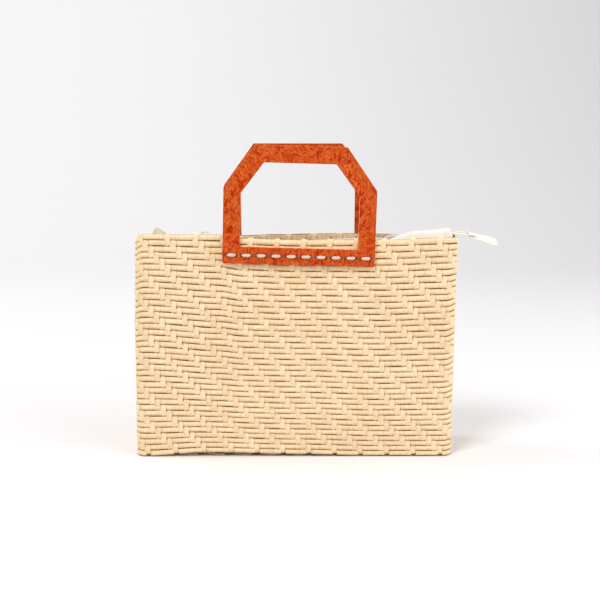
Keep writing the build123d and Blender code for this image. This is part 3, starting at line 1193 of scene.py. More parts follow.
@dataclass
class Weave:
    """Two-over three-under twill of split reed over the basket's form."""

    form: BasketForm
    finishes: Finishes
    half_swing: float = 0.88 * MM
    ring_half_thickness: float = 1.06 * MM
    upright_half_thickness: float = 0.78 * MM
    upright_lift: float = 0.16
    ring_fill: float = 0.945
    upright_fill: float = 1.19
    surface_inset: float = 1.98 * MM
    repeat: int = 5
    shown: int = 2
    first_shown: int = 3
    ring_shift: float = 0.16
    ring_run: float = 0.17
    upright_shift: float = -0.04
    upright_run: float = 0.18
    bar_lean: float = 0.21
    foot_turn: float = 2.2 * MM
    settled: float = 3.5 * MM
    settled_share: float = 0.95
    clearance: float = 0.85 * MM
    corners: int = 8
    ring_power: float = 2.15
    upright_power: float = 3.4
    dip_shoulder: float = 0.93
    wander: float = 0.035
    wander_length: float = 37.0
    ring_width_change: float = 0.02
    ring_width_length: float = 9.0
    ring_swell: float = 0.05
    ring_swell_length: float = 13.0
    join_after: int = 6
    join_before: int = 20
    lean_places: tuple[float, ...] = (0.0, 1.0, 2.0, 3.5, 5.0)
    lean_shares: tuple[float, ...] = (-1.0, 0.0, 1.0, 0.0, -1.0)
    foot_stop: float = 0.12
    width_middle: float = 0.92
    width_proud: float = 0.08
    upright_swell: float = 0.06
    upright_width_change: float = 0.02
    tucked_rows: tuple[float, ...] = (1.35, 0.9, 0.45, 0.12)
    tucked_depths: tuple[float, ...] = (1.3, 1.2, 1.1, 1.0)
    stopped_rows: tuple[float, ...] = (0.10, 0.25)
    crown_row: float = 0.03
    crown_rise: float = 0.1 * MM
    crown_depths: tuple[float, ...] = (0.45, -0.35)
    crown_tilt: float = 0.75
    crown_foot_row: float = 0.15
    seed: int = 7

    def upright_over(self, column: Array, row: Array) -> Array:
        """Whether the upright lies over the ring at a crossing, 0 or 1.

        Args:
            column: which upright.
            row: which ring, from the rim down.

        Returns:
            One value for each crossing.
        """
        step = (np.asarray(column) - np.asarray(row) - self.first_shown) % self.repeat
        last = self.form.rows - 1
        halved = ((np.asarray(row) == 0) & (step == 0)) | ((np.asarray(row) == last) & (step == 1))
        return ((step < self.shown) & ~halved).astype(float)

    def stations(self, over: Array, shift: float, run: float) -> tuple[Array, Array]:
        """Places along a strand, and how proud it lies at each.

        Args:
            over: whether it lies over at each crossing, 0 or 1.
            shift: how far past a crossing's edge it stays proud, in crossings.
            run: half the length of the dip, in crossings.

        Returns:
            Places in crossings, and heights from -1 to 1.
        """
        places: list[float] = []
        heights: list[float] = []
        lies = 2.0 * np.asarray(over) - 1.0
        for number, here in enumerate(lies):
            places.append(number + 0.5)
            heights.append(here)
            if number + 1 == len(lies):
                break
            following = lies[number + 1]
            if here == following:
                places.append(number + 1.0)
                heights.append(here)
                continue
            edge = number + 1.0 + (shift if here > following else -shift)
            places += [edge - run, edge, edge + run]
            heights += [here * self.dip_shoulder, 0.0, following * self.dip_shoulder]
        return np.array(places), np.array(heights)

    def ring(self, loft: Loft, row: int) -> None:
        """Adds one ring of reed round the basket.

        Args:
            loft: where it goes.
            row: which row, from the rim down.
        """
        form = self.form
        draw = random.Random(self.seed * 1000 + row)
        start = draw.randrange(form.half_turn + self.join_after, form.columns - self.join_before)
        crossings = start + np.arange(form.columns + 1)
        over = 1.0 - self.upright_over(crossings, row)
        places, height = self.stations(over, self.ring_shift, self.ring_run)
        column = start + places
        wander = ripple(self.seed + row, column, self.wander_length) * self.wander
        line = form.level(row + 0.5 + wander, column)
        inset = self.surface_inset - height * self.half_swing
        centres, normal = form.place(column, line, inset)
        heading = unit(np.gradient(centres, axis=0))
        upward = unit(np.cross(normal, heading))
        upper = form.level(np.full_like(column, row), column)
        lower = form.level(np.full_like(column, row + 1.0), column)
        half_width = (upper - lower) / 2 * self.ring_fill
        change = ripple(self.seed + 90 + row, column, self.ring_width_length)
        half_width = half_width * (1.0 + self.ring_width_change * change)
        swell = ripple(self.seed + 300 + row, column, self.ring_swell_length)
        thickness = (self.ring_half_thickness * (1.0 + self.ring_swell * swell))[:, None]
        loft.sweep(
            centres,
            upward * half_width[:, None],
            normal * thickness,
            ring_section(self.corners, self.ring_power),
            tone=draw.random(),
            lie=height,
        )

    def wall_run(self, column: int) -> tuple[Array, Array, Array, Array]:
        """Part of an upright that lies on the wall.

        Args:
            column: which upright.

        Returns:
            Centres, normals, half-widths and heights in the weave, from the rim down.
        """
        form = self.form
        over = self.upright_over(column, np.arange(form.rows))
        rows, height = self.stations(over, self.upright_shift, self.upright_run)
        rows = np.append(rows, form.rows - self.foot_stop)
        height = np.append(height, height[-1])
        bar = (column - rows - self.first_shown) % self.repeat
        lean = self.bar_lean * np.interp(bar, self.lean_places, self.lean_shares)
        place = column + 0.5 + lean
        level = form.level(rows, np.full_like(rows, column + 0.5))
        proud = height + np.clip(height, 0.0, 1.0) * self.upright_lift
        inset = self.surface_inset - proud * self.half_swing
        centres, normal = form.place(place, level, inset)
        width = form.column_width(np.full_like(rows, column + 0.5), level)
        narrowed = self.upright_fill * (self.width_middle + self.width_proud * height)
        return centres, normal, width / 2 * narrowed, height

    def rim_turn(self, column: int) -> tuple[Array, Array, Array, Array]:
        """End of an upright where it turns over the top ring, or stops behind it.

        Args:
            column: which upright.

        Returns:
            Centres, normals, half-widths and heights, from the inside to the outside.
        """
        form = self.form
        over = float(self.upright_over(column, 0))
        rows = np.array(self.tucked_rows if over else self.stopped_rows)
        place = np.full_like(rows, column + 0.5)
        level = form.level(rows, place)
        _, normal = form.place(place, level, 0.0)
        if not over:
            centres, normal = form.place(place, level, self.surface_inset + self.half_swing)
            width = form.column_width(place, level)
            return centres, normal, width / 2 * self.upright_fill, -np.ones_like(rows)
        deep = self.surface_inset + self.half_swing * np.array(self.tucked_depths)
        inner, inner_normal = form.place(place, level, deep)
        top = form.level(np.full(2, self.crown_row), place[:2])
        sides = self.surface_inset + self.half_swing * np.array(self.crown_depths)
        over_top, _ = form.place(place[:2], top + self.crown_rise, sides)
        up, tilt = np.array([0.0, 0.0, 1.0]), self.crown_tilt * normal[0]
        crown = unit(np.stack([up - tilt, up + tilt]))
        foot = form.level(np.array([self.crown_foot_row]), place[:1])
        outer, outer_normal = form.place(place[:1], foot, self.surface_inset - self.half_swing)
        centres = np.vstack([inner, over_top, outer])
        normals = np.vstack([-inner_normal, crown, outer_normal])
        width = form.column_width(np.full(len(centres), column + 0.5), centres[:, 2])
        heights = np.ones(len(centres))
        return centres, normals, width / 2 * self.upright_fill, heights

    def base_run(
        self, start: Array, end: Array, crossings: int, phase: int
    ) -> tuple[Array, Array, Array]:
        """Part of an upright that runs under the base.

        Args:
            start: where it leaves one wall.
            end: where it joins the opposite wall.
            crossings: how many strands it crosses.
            phase: which part of the twill it starts on.

        Returns:
            Centres, normals and heights in the weave.
        """
        over = self.upright_over(phase, np.arange(crossings))
        places, height = self.stations(over, self.upright_shift, self.upright_run)
        centres = start + (end - start) * (places / crossings)[:, None]
        # Easing the height to 0 near the walls also gives these parts full painted shade through
        # the lie mask, a painted dark underside just inside the foot.
        turned = smooth(np.minimum(places, crossings - places) / 2.0)
        height = height * turned
        centres[:, 2] = self.base_height(centres[:, 0], centres[:, 1])
        centres[:, 2] += self.surface_inset - height * self.half_swing
        normals = np.tile(np.array([0.0, 0.0, -1.0]), (len(places), 1))
        return centres, normals, height

    def base_height(self, x: Array, y: Array) -> Array:
        """How far the base bows up off the ground.

        Args:
            x: X of the places.
            y: their Y.

        Returns:
            Their heights.
        """
        form = self.form
        along = (np.asarray(x, float) + form.long_flat / 2) / form.pitch
        front = eased(form.foot_line, np.clip(along, 0.0, form.long_columns))
        behind = eased(
            form.foot_line,
            np.clip(form.half_turn + form.long_columns - along, form.half_turn, form.columns),
        )
        share = smooth(np.asarray(y, float) / form.base_depth + 0.5)
        inside = smooth((form.base_depth / 2 - np.abs(y)) / self.settled)
        bow = (front + (behind - front) * share) * (1.0 - self.settled_share * inside)
        return bow * MM + self.clearance

    def upright(self, loft: Loft, column: int, other: int, across_base: int, phase: int) -> None:
        """Adds one upright: up one wall, under the base and up the opposite wall.

        Args:
            loft: where it goes.
            column: its column on the first wall.
            other: its column on the opposite wall.
            across_base: how many strands it crosses under the base.
            phase: which part of the twill it starts on under the base.
        """
        draw = random.Random(self.seed * 5000 + column)
        first = zip(self.rim_turn(column), self.wall_run(column))
        centres, normals, widths, heights = (np.concatenate(pair) for pair in first)
        second = zip(self.rim_turn(other), self.wall_run(other))
        far, far_normals, far_widths, far_heights = (np.concatenate(pair)[::-1] for pair in second)
        near_corner = centres[-1] * [1, 1, 0] - normals[-1] * [1, 1, 0] * self.foot_turn
        far_corner = far[0] * [1, 1, 0] - far_normals[0] * [1, 1, 0] * self.foot_turn
        under, under_normals, under_heights = self.base_run(
            near_corner, far_corner, across_base, phase
        )
        width = np.interp(
            np.linspace(0, 1, len(under)), [0, 1], [float(widths[-1]), float(far_widths[0])]
        )
        path = np.vstack([centres, under, far])
        facing = np.vstack([normals, under_normals, far_normals])
        half = np.concatenate([widths, width, far_widths])
        height = np.concatenate([heights, under_heights, far_heights])
        leaves, joins = len(centres), len(centres) + len(under)
        for corner in 2 * (slice(leaves - 2, leaves + 3), slice(joins - 3, joins + 2)):
            self.soften(path, facing, corner)
        heading = unit(np.gradient(path, axis=0))
        facing = unit(facing - heading * (facing * heading).sum(axis=1, keepdims=True))
        across = np.cross(heading, facing)
        swell = 1.0 + self.upright_swell * draw.uniform(-1, 1)
        loft.sweep(
            path,
            across * half[:, None] * (1.0 + self.upright_width_change * draw.uniform(-1, 1)),
            facing * (self.upright_half_thickness * swell),
            ring_section(self.corners, self.upright_power),
            tone=draw.random(),
            lie=height,
            shaded_edges=False,
        )

    @staticmethod
    def soften(path: Array, facing: Array, corner: slice) -> None:
        """Rounds a few points of a line in place.

        Args:
            path: the line's points.
            facing: its normals.
            corner: which points.
        """
        for line in (path, facing):
            kept = line[corner].copy()
            middle = (kept[:-2] + 2 * kept[1:-1] + kept[2:]) / 4
            line[corner.start + 1 : corner.stop - 1] = middle

    def build(self) -> None:
        """Builds the whole weave."""
        form = self.form
        pieces = []
        bands = ("upper", "middle", "lower")
        ends = [number * form.rows // len(bands) for number in range(len(bands) + 1)]
        for word, first, last in zip(bands, ends, ends[1:]):
            loft = Loft()
            for row in range(first, last):
                self.ring(loft, row)
            pieces.append(loft.build(f"reed_rings_{word}"))
        half = form.long_columns // 2
        for word, columns in (("left", range(half)), ("right", range(half, form.long_columns))):
            loft = Loft()
            for column in columns:
                other = form.half_turn + form.long_columns - 1 - column
                self.upright(loft, column, other, form.end_columns, column - form.rows)
            pieces.append(loft.build(f"reed_uprights_{word}"))
        loft = Loft()
        for step in range(form.end_columns):
            other = form.columns - 1 - step
            self.upright(loft, form.long_columns + step, other, form.long_columns, step)
        pieces.append(loft.build("reed_uprights_ends"))
        settle(pieces[0], self.finishes.reed, Slot.REED, "woven_basket")
        for piece in pieces[1:]:
            settle(piece, self.finishes.reed, Slot.REED)


@dataclass
class LooseReeds:
    """Husk ends and hairs that stand out of the weave."""

    form: BasketForm
    finishes: Finishes
    ends: tuple[tuple[float, float, float, float], ...] = (
        (10.4, -0.16, 5.2, 0.62),
        (11.3, -0.22, 3.0, 0.40),
        (37.5, -0.20, 2.6, 0.36),
        (26.6, -0.12, 2.2, 0.32),
    )
    hair_count: int = 46
    hair_radius: float = 0.11 * MM
    hair_reach: float = 1.5 * MM
    end_root: float = 2.0 * MM
    hair_root: float = 0.7 * MM
    seed: int = 41

    def rooted(self, row: float, column: float, inset: float) -> tuple[Array, Array]:
        """Point and outward normal of one place in the weave.

        Args:
            row: position down from the rim, in rows.
            column: position round the basket, in columns.
            inset: distance inwards from the outer face.

        Returns:
            The point and its unit normal.
        """
        at = np.array([column])
        root, normal = self.form.place(at, self.form.level(np.array([row]), at), inset)
        return root[0], normal[0]

    def build(self) -> None:
        """Builds the loose ends."""
        loft = Loft()
        draw = random.Random(self.seed)
        for column, row, length, radius in self.ends:
            root, normal = self.rooted(row, column, self.end_root)
            lean = np.array([draw.uniform(0.8, 1.0), -0.15, 0.28])
            tip = root + unit(lean) * length * MM
            bent = (root + tip) / 2 + normal * 0.6 * MM
            line = through([root - normal * 0.5 * MM, root, bent, tip], 0.7 * MM)
            taper = np.linspace(1.0, 0.35, len(line)) * radius * MM
            loft.tube(line, taper, 6, tone=draw.random())
        for _ in range(self.hair_count):
            column = draw.uniform(0.0, self.form.columns)
            row = draw.choice([0.05, draw.uniform(0.5, self.form.rows - 1.5)])
            root, normal = self.rooted(row, column, self.hair_root)
            drift = np.array([draw.uniform(-1, 1), 0.0, draw.uniform(-0.6, 0.9)])
            tip = root + (normal * draw.uniform(0.5, 1.0) + drift) * self.hair_reach
            bent = (root + tip) / 2 + normal * 0.4 * MM
            line = through([root, bent, tip], 0.4 * MM)
            loft.tube(line, self.hair_radius, 4, tone=draw.random())
        settle(loft.build("loose_reed_ends"), self.finishes.husk, Slot.REED)


# ---- Lining ----


@dataclass
class Lining:
    """Loose cotton bag inside the weave, with a turned hem."""

    form: BasketForm
    finishes: Finishes
    thickness: float = 0.8 * MM
    inset: float = 5.7 * MM
    floor_height: float = 3.7 * MM
    below_rim_front: float = 2.2 * MM
    below_rim_back: float = 6.2 * MM
    lowered_columns: tuple[float, ...] = (66.0, 10.0, 124.0, 8.0)
    lifted_columns: tuple[float, ...] = (64.0, 3.0, 82.0, 6.0)
    lifted_hem: float = 3.0 * MM
    wrinkle: float = 0.9 * MM
    floor_wrinkle: float = 0.5 * MM
    floor_spine: float = 0.12
    around: int = 300
    up: int = 56
    floor_rings: int = 12

    def top(self, column: Array) -> Array:
        """Height of the hem at a place round the bag.

        Args:
            column: position round the basket, in columns.

        Returns:
            Height above the ground.
        """
        column = np.asarray(column, float) % self.form.columns
        rim = self.form.level(np.zeros_like(column), column)
        back = band(column, *self.lowered_columns)
        lifted = band(column, *self.lifted_columns)
        below = self.below_rim_front + (self.below_rim_back - self.below_rim_front) * back
        return rim - below + lifted * self.lifted_hem

    def build(self) -> None:
        """Builds the lining."""
        column = np.linspace(0.0, self.form.columns, self.around + 1)
        top = self.top(column)
        share = np.linspace(0.0, 1.0, self.up)[:, None]
        level = top[None, :] + (self.floor_height - top[None, :]) * share
        columns = np.broadcast_to(column, level.shape)
        points, normal = self.form.place(columns, level, self.inset)
        wave = ripple(3, columns + level * 60.0, 19.0) + 0.6 * ripple(5, level * 1000, 31.0)
        held = band(share, 0.0, 0.08, 1.0, 0.06)
        points = points - normal * (0.5 * (wave + 1.0) * self.wrinkle * held)[..., None]
        edge = points[-1]
        spine_x = np.clip(edge[:, 0], -self.floor_spine, self.floor_spine)
        rings = []
        for number in range(1, self.floor_rings + 1):
            inwards = number / self.floor_rings
            ring = edge.copy()
            ring[:, 0] = edge[:, 0] + (spine_x - edge[:, 0]) * inwards
            ring[:, 1] = edge[:, 1] * (1.0 - inwards)
            lift = self.floor_wrinkle * ripple(11, ring[:, 0] * 1000 + ring[:, 1] * 700, 60.0)
            ring[:, 2] = self.floor_height + np.maximum(lift, 0.0) * smooth(inwards * 3)
            rings.append(ring)
        grid = np.concatenate([points, np.stack(rings)])
        grid[:, -1] = grid[:, 0]
        piece = sheet_mesh("lining_cloth", grid, self.thickness)
        settle(piece, self.finishes.cotton, Slot.COTTON, "cotton_lining")
        round_it = float(np.linalg.norm(np.diff(points[0], axis=0), axis=1).sum())


# ---- Handles ----


@dataclass
class StitchedHandle:
    """A pierced plate and the cord that sews it to its wall."""

    form: BasketForm
    finishes: Finishes
    side: Side
    shift: float
    overlap: float
    tilt: float
    stitches: int = 10
    pitch: float = 14.8 * MM
    hole_spacing: float = 8.6 * MM
    row_height: float = 8.5 * MM
    plate_face: float = 3.6 * MM
    behind: float = -3.95 * MM
    ply_radius: float = 0.66 * MM
    ply_offset: float = 0.76 * MM
    plies: int = 3
    twist_pitch: float = 6.4 * MM
    cord_half: float = 1.25 * MM
    knot_radius: float = 1.25 * MM
    knot_ply: float = 0.8 * MM
    flattening: float = 0.12
    fraying: float = 0.18
    unevenness: float = 0.10
    fibres_per_stitch: int = 5
    fibre_radius: float = 0.09 * MM

    def to_frame(self, points: Array) -> Array:
        """Points from the plate's own axes to the bag's.

        Args:
            points: points in the plate's axes.

        Returns:
            The same points in the bag's axes.
        """
        lean, tilt = self.form.lean, math.radians(self.tilt)
        sign = -self.side.value
        x_axis = np.array([sign, 0.0, 0.0])
        up = np.array([0.0, sign * math.sin(lean), math.cos(lean)])
        out = np.array([0.0, -sign * math.cos(lean), math.sin(lean)])
        wall_length = self.form.height / math.cos(lean)
        origin = np.array([0.0, -sign * self.form.base_depth / 2, 0.0])
        origin = origin + x_axis * self.shift * sign + up * (wall_length - self.overlap)
        turned = x_axis * math.cos(tilt) + up * math.sin(tilt)
        raised = up * math.cos(tilt) - x_axis * math.sin(tilt)
        return origin + points[:, :1] * turned + points[:, 1:2] * raised + points[:, 2:] * out

    def cord_line(self) -> Array:
        """The running stitch's line, in the plate's axes.

        Returns:
            Its points.
        """
        top = self.plate_face + self.cord_half
        steps = (
            (0.0, self.behind),
            (0.3 * MM, -0.5 * MM),
            (1.0 * MM, self.plate_face - 1.1 * MM),
            (2.1 * MM, top - 0.35 * MM),
        )
        points: list[Point] = []
        for number in range(self.stitches):
            centre = (number - (self.stitches - 1) / 2) * self.pitch
            left, right = centre - self.hole_spacing / 2, centre + self.hole_spacing / 2
            points += [(left + step, self.row_height, z) for step, z in steps]
            points.append((centre, self.row_height, top + 0.2 * MM))
            points += [(right - step, self.row_height, z) for step, z in reversed(steps)]
        return through(points, 0.55 * MM)

    def build(self) -> None:
        """Dresses the plate and builds its cord."""
        word = self.side.word
        resin = self.finishes.front_resin if self.side is Side.FRONT else self.finishes.back_resin
        dress_node(f"{word}_handle", resin)
        draw = random.Random(17 if self.side is Side.FRONT else 29)
        line = self.cord_line()
        along = length_along(line)
        heading = unit(np.gradient(line, axis=0))
        side_way = np.tile(np.array([0.0, 1.0, 0.0]), (len(line), 1))
        normal = unit(np.cross(heading, side_way))
        proud = smooth((line[:, 2] - self.plate_face + 0.5 * MM) / (1.6 * MM))
        wide = 1.0 + self.flattening * proud
        thin = 1.0 - self.flattening * proud
        jitter = 1.0 + self.unevenness * ripple(3 + draw.randrange(9), along * 1000, 17.0)
        loft = Loft()
        for ply in range(self.plies):
            angle = 2 * math.pi * (along / self.twist_pitch + ply / self.plies)
            offset = self.ply_offset * jitter
            strand = (
                line
                + side_way * (np.cos(angle) * offset * wide)[:, None]
                + normal * (np.sin(angle) * offset * thin)[:, None]
            )
            size = self.ply_radius * (1.0 + self.fraying * proud)
            loft.tube(self.to_frame(strand), size, 7, tone=draw.random())
        for end in (line[0], line[-1]):
            self.add_knot(loft, end, draw)
        self.add_fluff(loft, line, proud, draw)
        piece = loft.build(f"{word}_handle_stitching")
        settle(piece, self.finishes.cord, Slot.CORD, f"{word}_handle_cord")

    def add_knot(self, loft: Loft, end: Array, draw: random.Random) -> None:
        """Adds an end knot: two small loops wound round the end of the cord.

        Args:
            loft: where it goes.
            end: the end of the cord, in the plate's axes.
            draw: random numbers.
        """
        for number in range(2):
            angle = np.linspace(0.0, 2 * math.pi, 22)
            turn = draw.uniform(0.3, 0.7) * (1 if number else -1)
            across = self.knot_radius * 1.3
            ring = np.stack(
                [
                    end[0] + across * np.cos(angle),
                    end[1] + across * np.sin(angle),
                    end[2] + self.knot_radius * turn * np.sin(angle + number) * 0.4 - 0.05 * MM,
                ],
                axis=1,
            )
            loft.tube(self.to_frame(ring), self.knot_ply, 6, tone=draw.random())

    def add_fluff(self, loft: Loft, line: Array, proud: Array, draw: random.Random) -> None:
        """Adds loose fibres that stand out of each stitch.

        Args:
            loft: where they go.
            line: the cord's line, in the plate's axes.
            proud: where the cord stands on the plate, 0 to 1.
            draw: random numbers.
        """
        places = np.flatnonzero(proud > 0.9)
        for _ in range(self.stitches * self.fibres_per_stitch):
            root = line[draw.choice(list(places))]
            reach = np.array([draw.uniform(-1.4, 1.4), draw.choice([-1, 1]) * 2.1, 0.2]) * MM
            tip = root + reach + np.array([0.0, draw.uniform(-0.6, 0.6), 0.3]) * MM
            middle = (root + tip) / 2 + np.array([0.3, 0.0, 0.7]) * MM
            fibre = through([root, middle, tip], 0.6 * MM)
            loft.tube(self.to_frame(fibre), self.fibre_radius, 4, tone=draw.random())


# ---- Zip ----


@dataclass
class ZipLine:
    """Where the two halves of the zip run, as the CAD strips do.

    Each half hangs inside the mouth from the left, folds over, meets the other in a closed chain
    that climbs over the rim, and runs out into the tab.
    """

    form: BasketForm
    clear_inset: float = 6.1 * MM
    below_rim: float = 0.5 * MM
    flap_thickness: float = 0.8 * MM
    flap_drop: float = 19.0 * MM
    flap_gap: float = 0.3 * MM
    end_gap: float = 6.0 * MM
    fold_angle: float = 62.0
    tape_thickness: float = 0.5 * MM
    tape_width: float = 9.5 * MM
    tape_flat: float = 2.8 * MM
    tape_overlap: float = 4.0 * MM
    sew_gap: float = 0.5 * MM
    coil_width: float = 1.8 * MM
    coil_height: float = 2.0 * MM
    coil_split: float = 0.7 * MM
    coil_seat_gap: float = 0.45 * MM
    fold_length: float = 34.0 * MM
    closed_length: float = 52.0 * MM
    chain_dip: float = 10.0 * MM
    chain_rise: float = 2.8 * MM
    tail_length: float = 35.0 * MM
    tail_droop: float = 4.0 * MM
    stop_length: float = 3.0 * MM
    pocket_depth: float = 6.0 * MM

    def __post_init__(self) -> None:
        """Works out the stations along the bag."""
        form = self.form
        inside_end = form.width / 2 - self.clear_inset
        self.hang_start = -inside_end + self.end_gap
        self.chain_end = inside_end - self.end_gap
        self.chain_start = self.chain_end - self.closed_length
        self.hang_end = self.chain_start - self.fold_length
        self.chain_low = form.height - self.chain_dip
        self.chain_high = form.height + self.chain_rise
        self.tail_end = self.chain_end + self.tail_length
        self.tail_height = self.chain_high - self.tail_droop
        self.tape_inner = self.coil_split + self.coil_width + self.coil_seat_gap
        self.tape_outer = self.tape_inner + self.tape_width
        sewn_height = form.height - self.below_rim
        self.tape_out = self.flap_thickness / 2 + self.sew_gap + self.tape_thickness / 2
        wall = -float(form.depth_at(np.array(sewn_height))) / 2 + self.clear_inset
        self.sewn_edge = np.array([wall + self.flap_gap + self.flap_thickness / 2, sewn_height])
        self.flap_edge_y = -self.tape_outer + self.tape_overlap
        fall = (sewn_height - self.chain_low) / (self.flap_edge_y - self.sewn_edge[0])
        self.edge_lift = fall * self.tape_overlap + self.tape_thickness + self.sew_gap
        self.end_stop_end = self.tail_end - self.pocket_depth
        self.coil_end = self.end_stop_end - self.stop_length

    def swung(self, distances: Array, out: float, angle: float) -> Array:
        """Line from the sewn edge at an angle from straight down, moved inwards by out.

        Args:
            distances: distances of its points from the sewn edge.
            out: how far inwards it lies.
            angle: its angle, in radians.

        Returns:
            Its (y, z) points.
        """
        down = np.array([math.sin(angle), -math.cos(angle)])
        inwards = np.array([math.cos(angle), math.sin(angle)])
        return self.sewn_edge + distances[:, None] * down + out * inwards

    def lines(
        self, x: Array, distances: Array, out: float, closed: list[Array], tail: Array | None
    ) -> Array:
        """(y, z) lines of one front strip at places along the bag.

        Args:
            x: the places.
            distances: distances down the flap of the line's points where it hangs.
            out: how far inwards of the flap's middle the strip lies.
            closed: its lines at both ends of the closed chain.
            tail: its line at the end of the tail, or None.

        Returns:
            Array of places by points by (y, z).
        """
        lean = self.form.lean
        hanging = self.swung(distances, out, -lean)
        folding = self.swung(distances, out, -lean + math.radians(self.fold_angle) / 2)
        middle = (self.hang_end + self.chain_start) / 2
        stations = [self.hang_start, self.hang_end, middle, self.chain_start, self.chain_end]
        keys = [hanging, hanging, folding, closed[0], closed[1]]
        if tail is not None:
            stations.append(self.tail_end)
            keys.append(tail)
        table = np.stack(keys)
        found = np.zeros((len(x), len(distances), 2))
        for point in range(len(distances)):
            for axis in range(2):
                found[:, point, axis] = np.interp(x, stations, table[:, point, axis])
        return found

    def tape_lines(self, x: Array) -> Array:
        """The front tape's lines, from its sewn edge to its coil edge.

        Args:
            x: places along the bag.

        Returns:
            Array of places by points by (y, z).
        """
        tape_from = self.flap_drop - self.tape_overlap
        tape_to = tape_from + self.tape_width
        distances = np.array([tape_from, tape_to - self.tape_flat, tape_to])
        flat_edge = self.tape_inner + self.tape_flat

        def chain(height: float, lift: float) -> Array:
            """Line across the closed tape at a height."""
            rows = [(-self.tape_outer, height + lift), (-flat_edge, height)]
            return np.array([*rows, (-self.tape_inner, height)])

        closed = [chain(self.chain_low, self.edge_lift), chain(self.chain_high, 0.0)]
        return self.lines(x, distances, self.tape_out, closed, chain(self.tail_height, 0.0))

    def coil_lines(self, x: Array) -> Array:
        """The front coil's lines, from its tape edge to its tooth edge.

        Args:
            x: places along the bag.

        Returns:
            Array of places by points by (y, z).
        """
        start = self.flap_drop - self.tape_overlap + self.tape_width + self.coil_seat_gap
        distances = np.array([start, start + self.coil_width])

        def chain(height: float) -> Array:
            """Line across the closed coil at a height."""
            outer = self.coil_split + self.coil_width
            return np.array([(-outer, height), (-self.coil_split, height)])

        closed = [chain(self.chain_low), chain(self.chain_high)]
        return self.lines(x, distances, self.tape_out, closed, chain(self.tail_height))

    def tail_height_at(self, x: Array) -> Array:
        """Height of the zip's middle where it runs out over the end of the bag."""
        slope = (self.tail_height - self.chain_high) / self.tail_length
        return self.chain_high + slope * (x - self.chain_end)


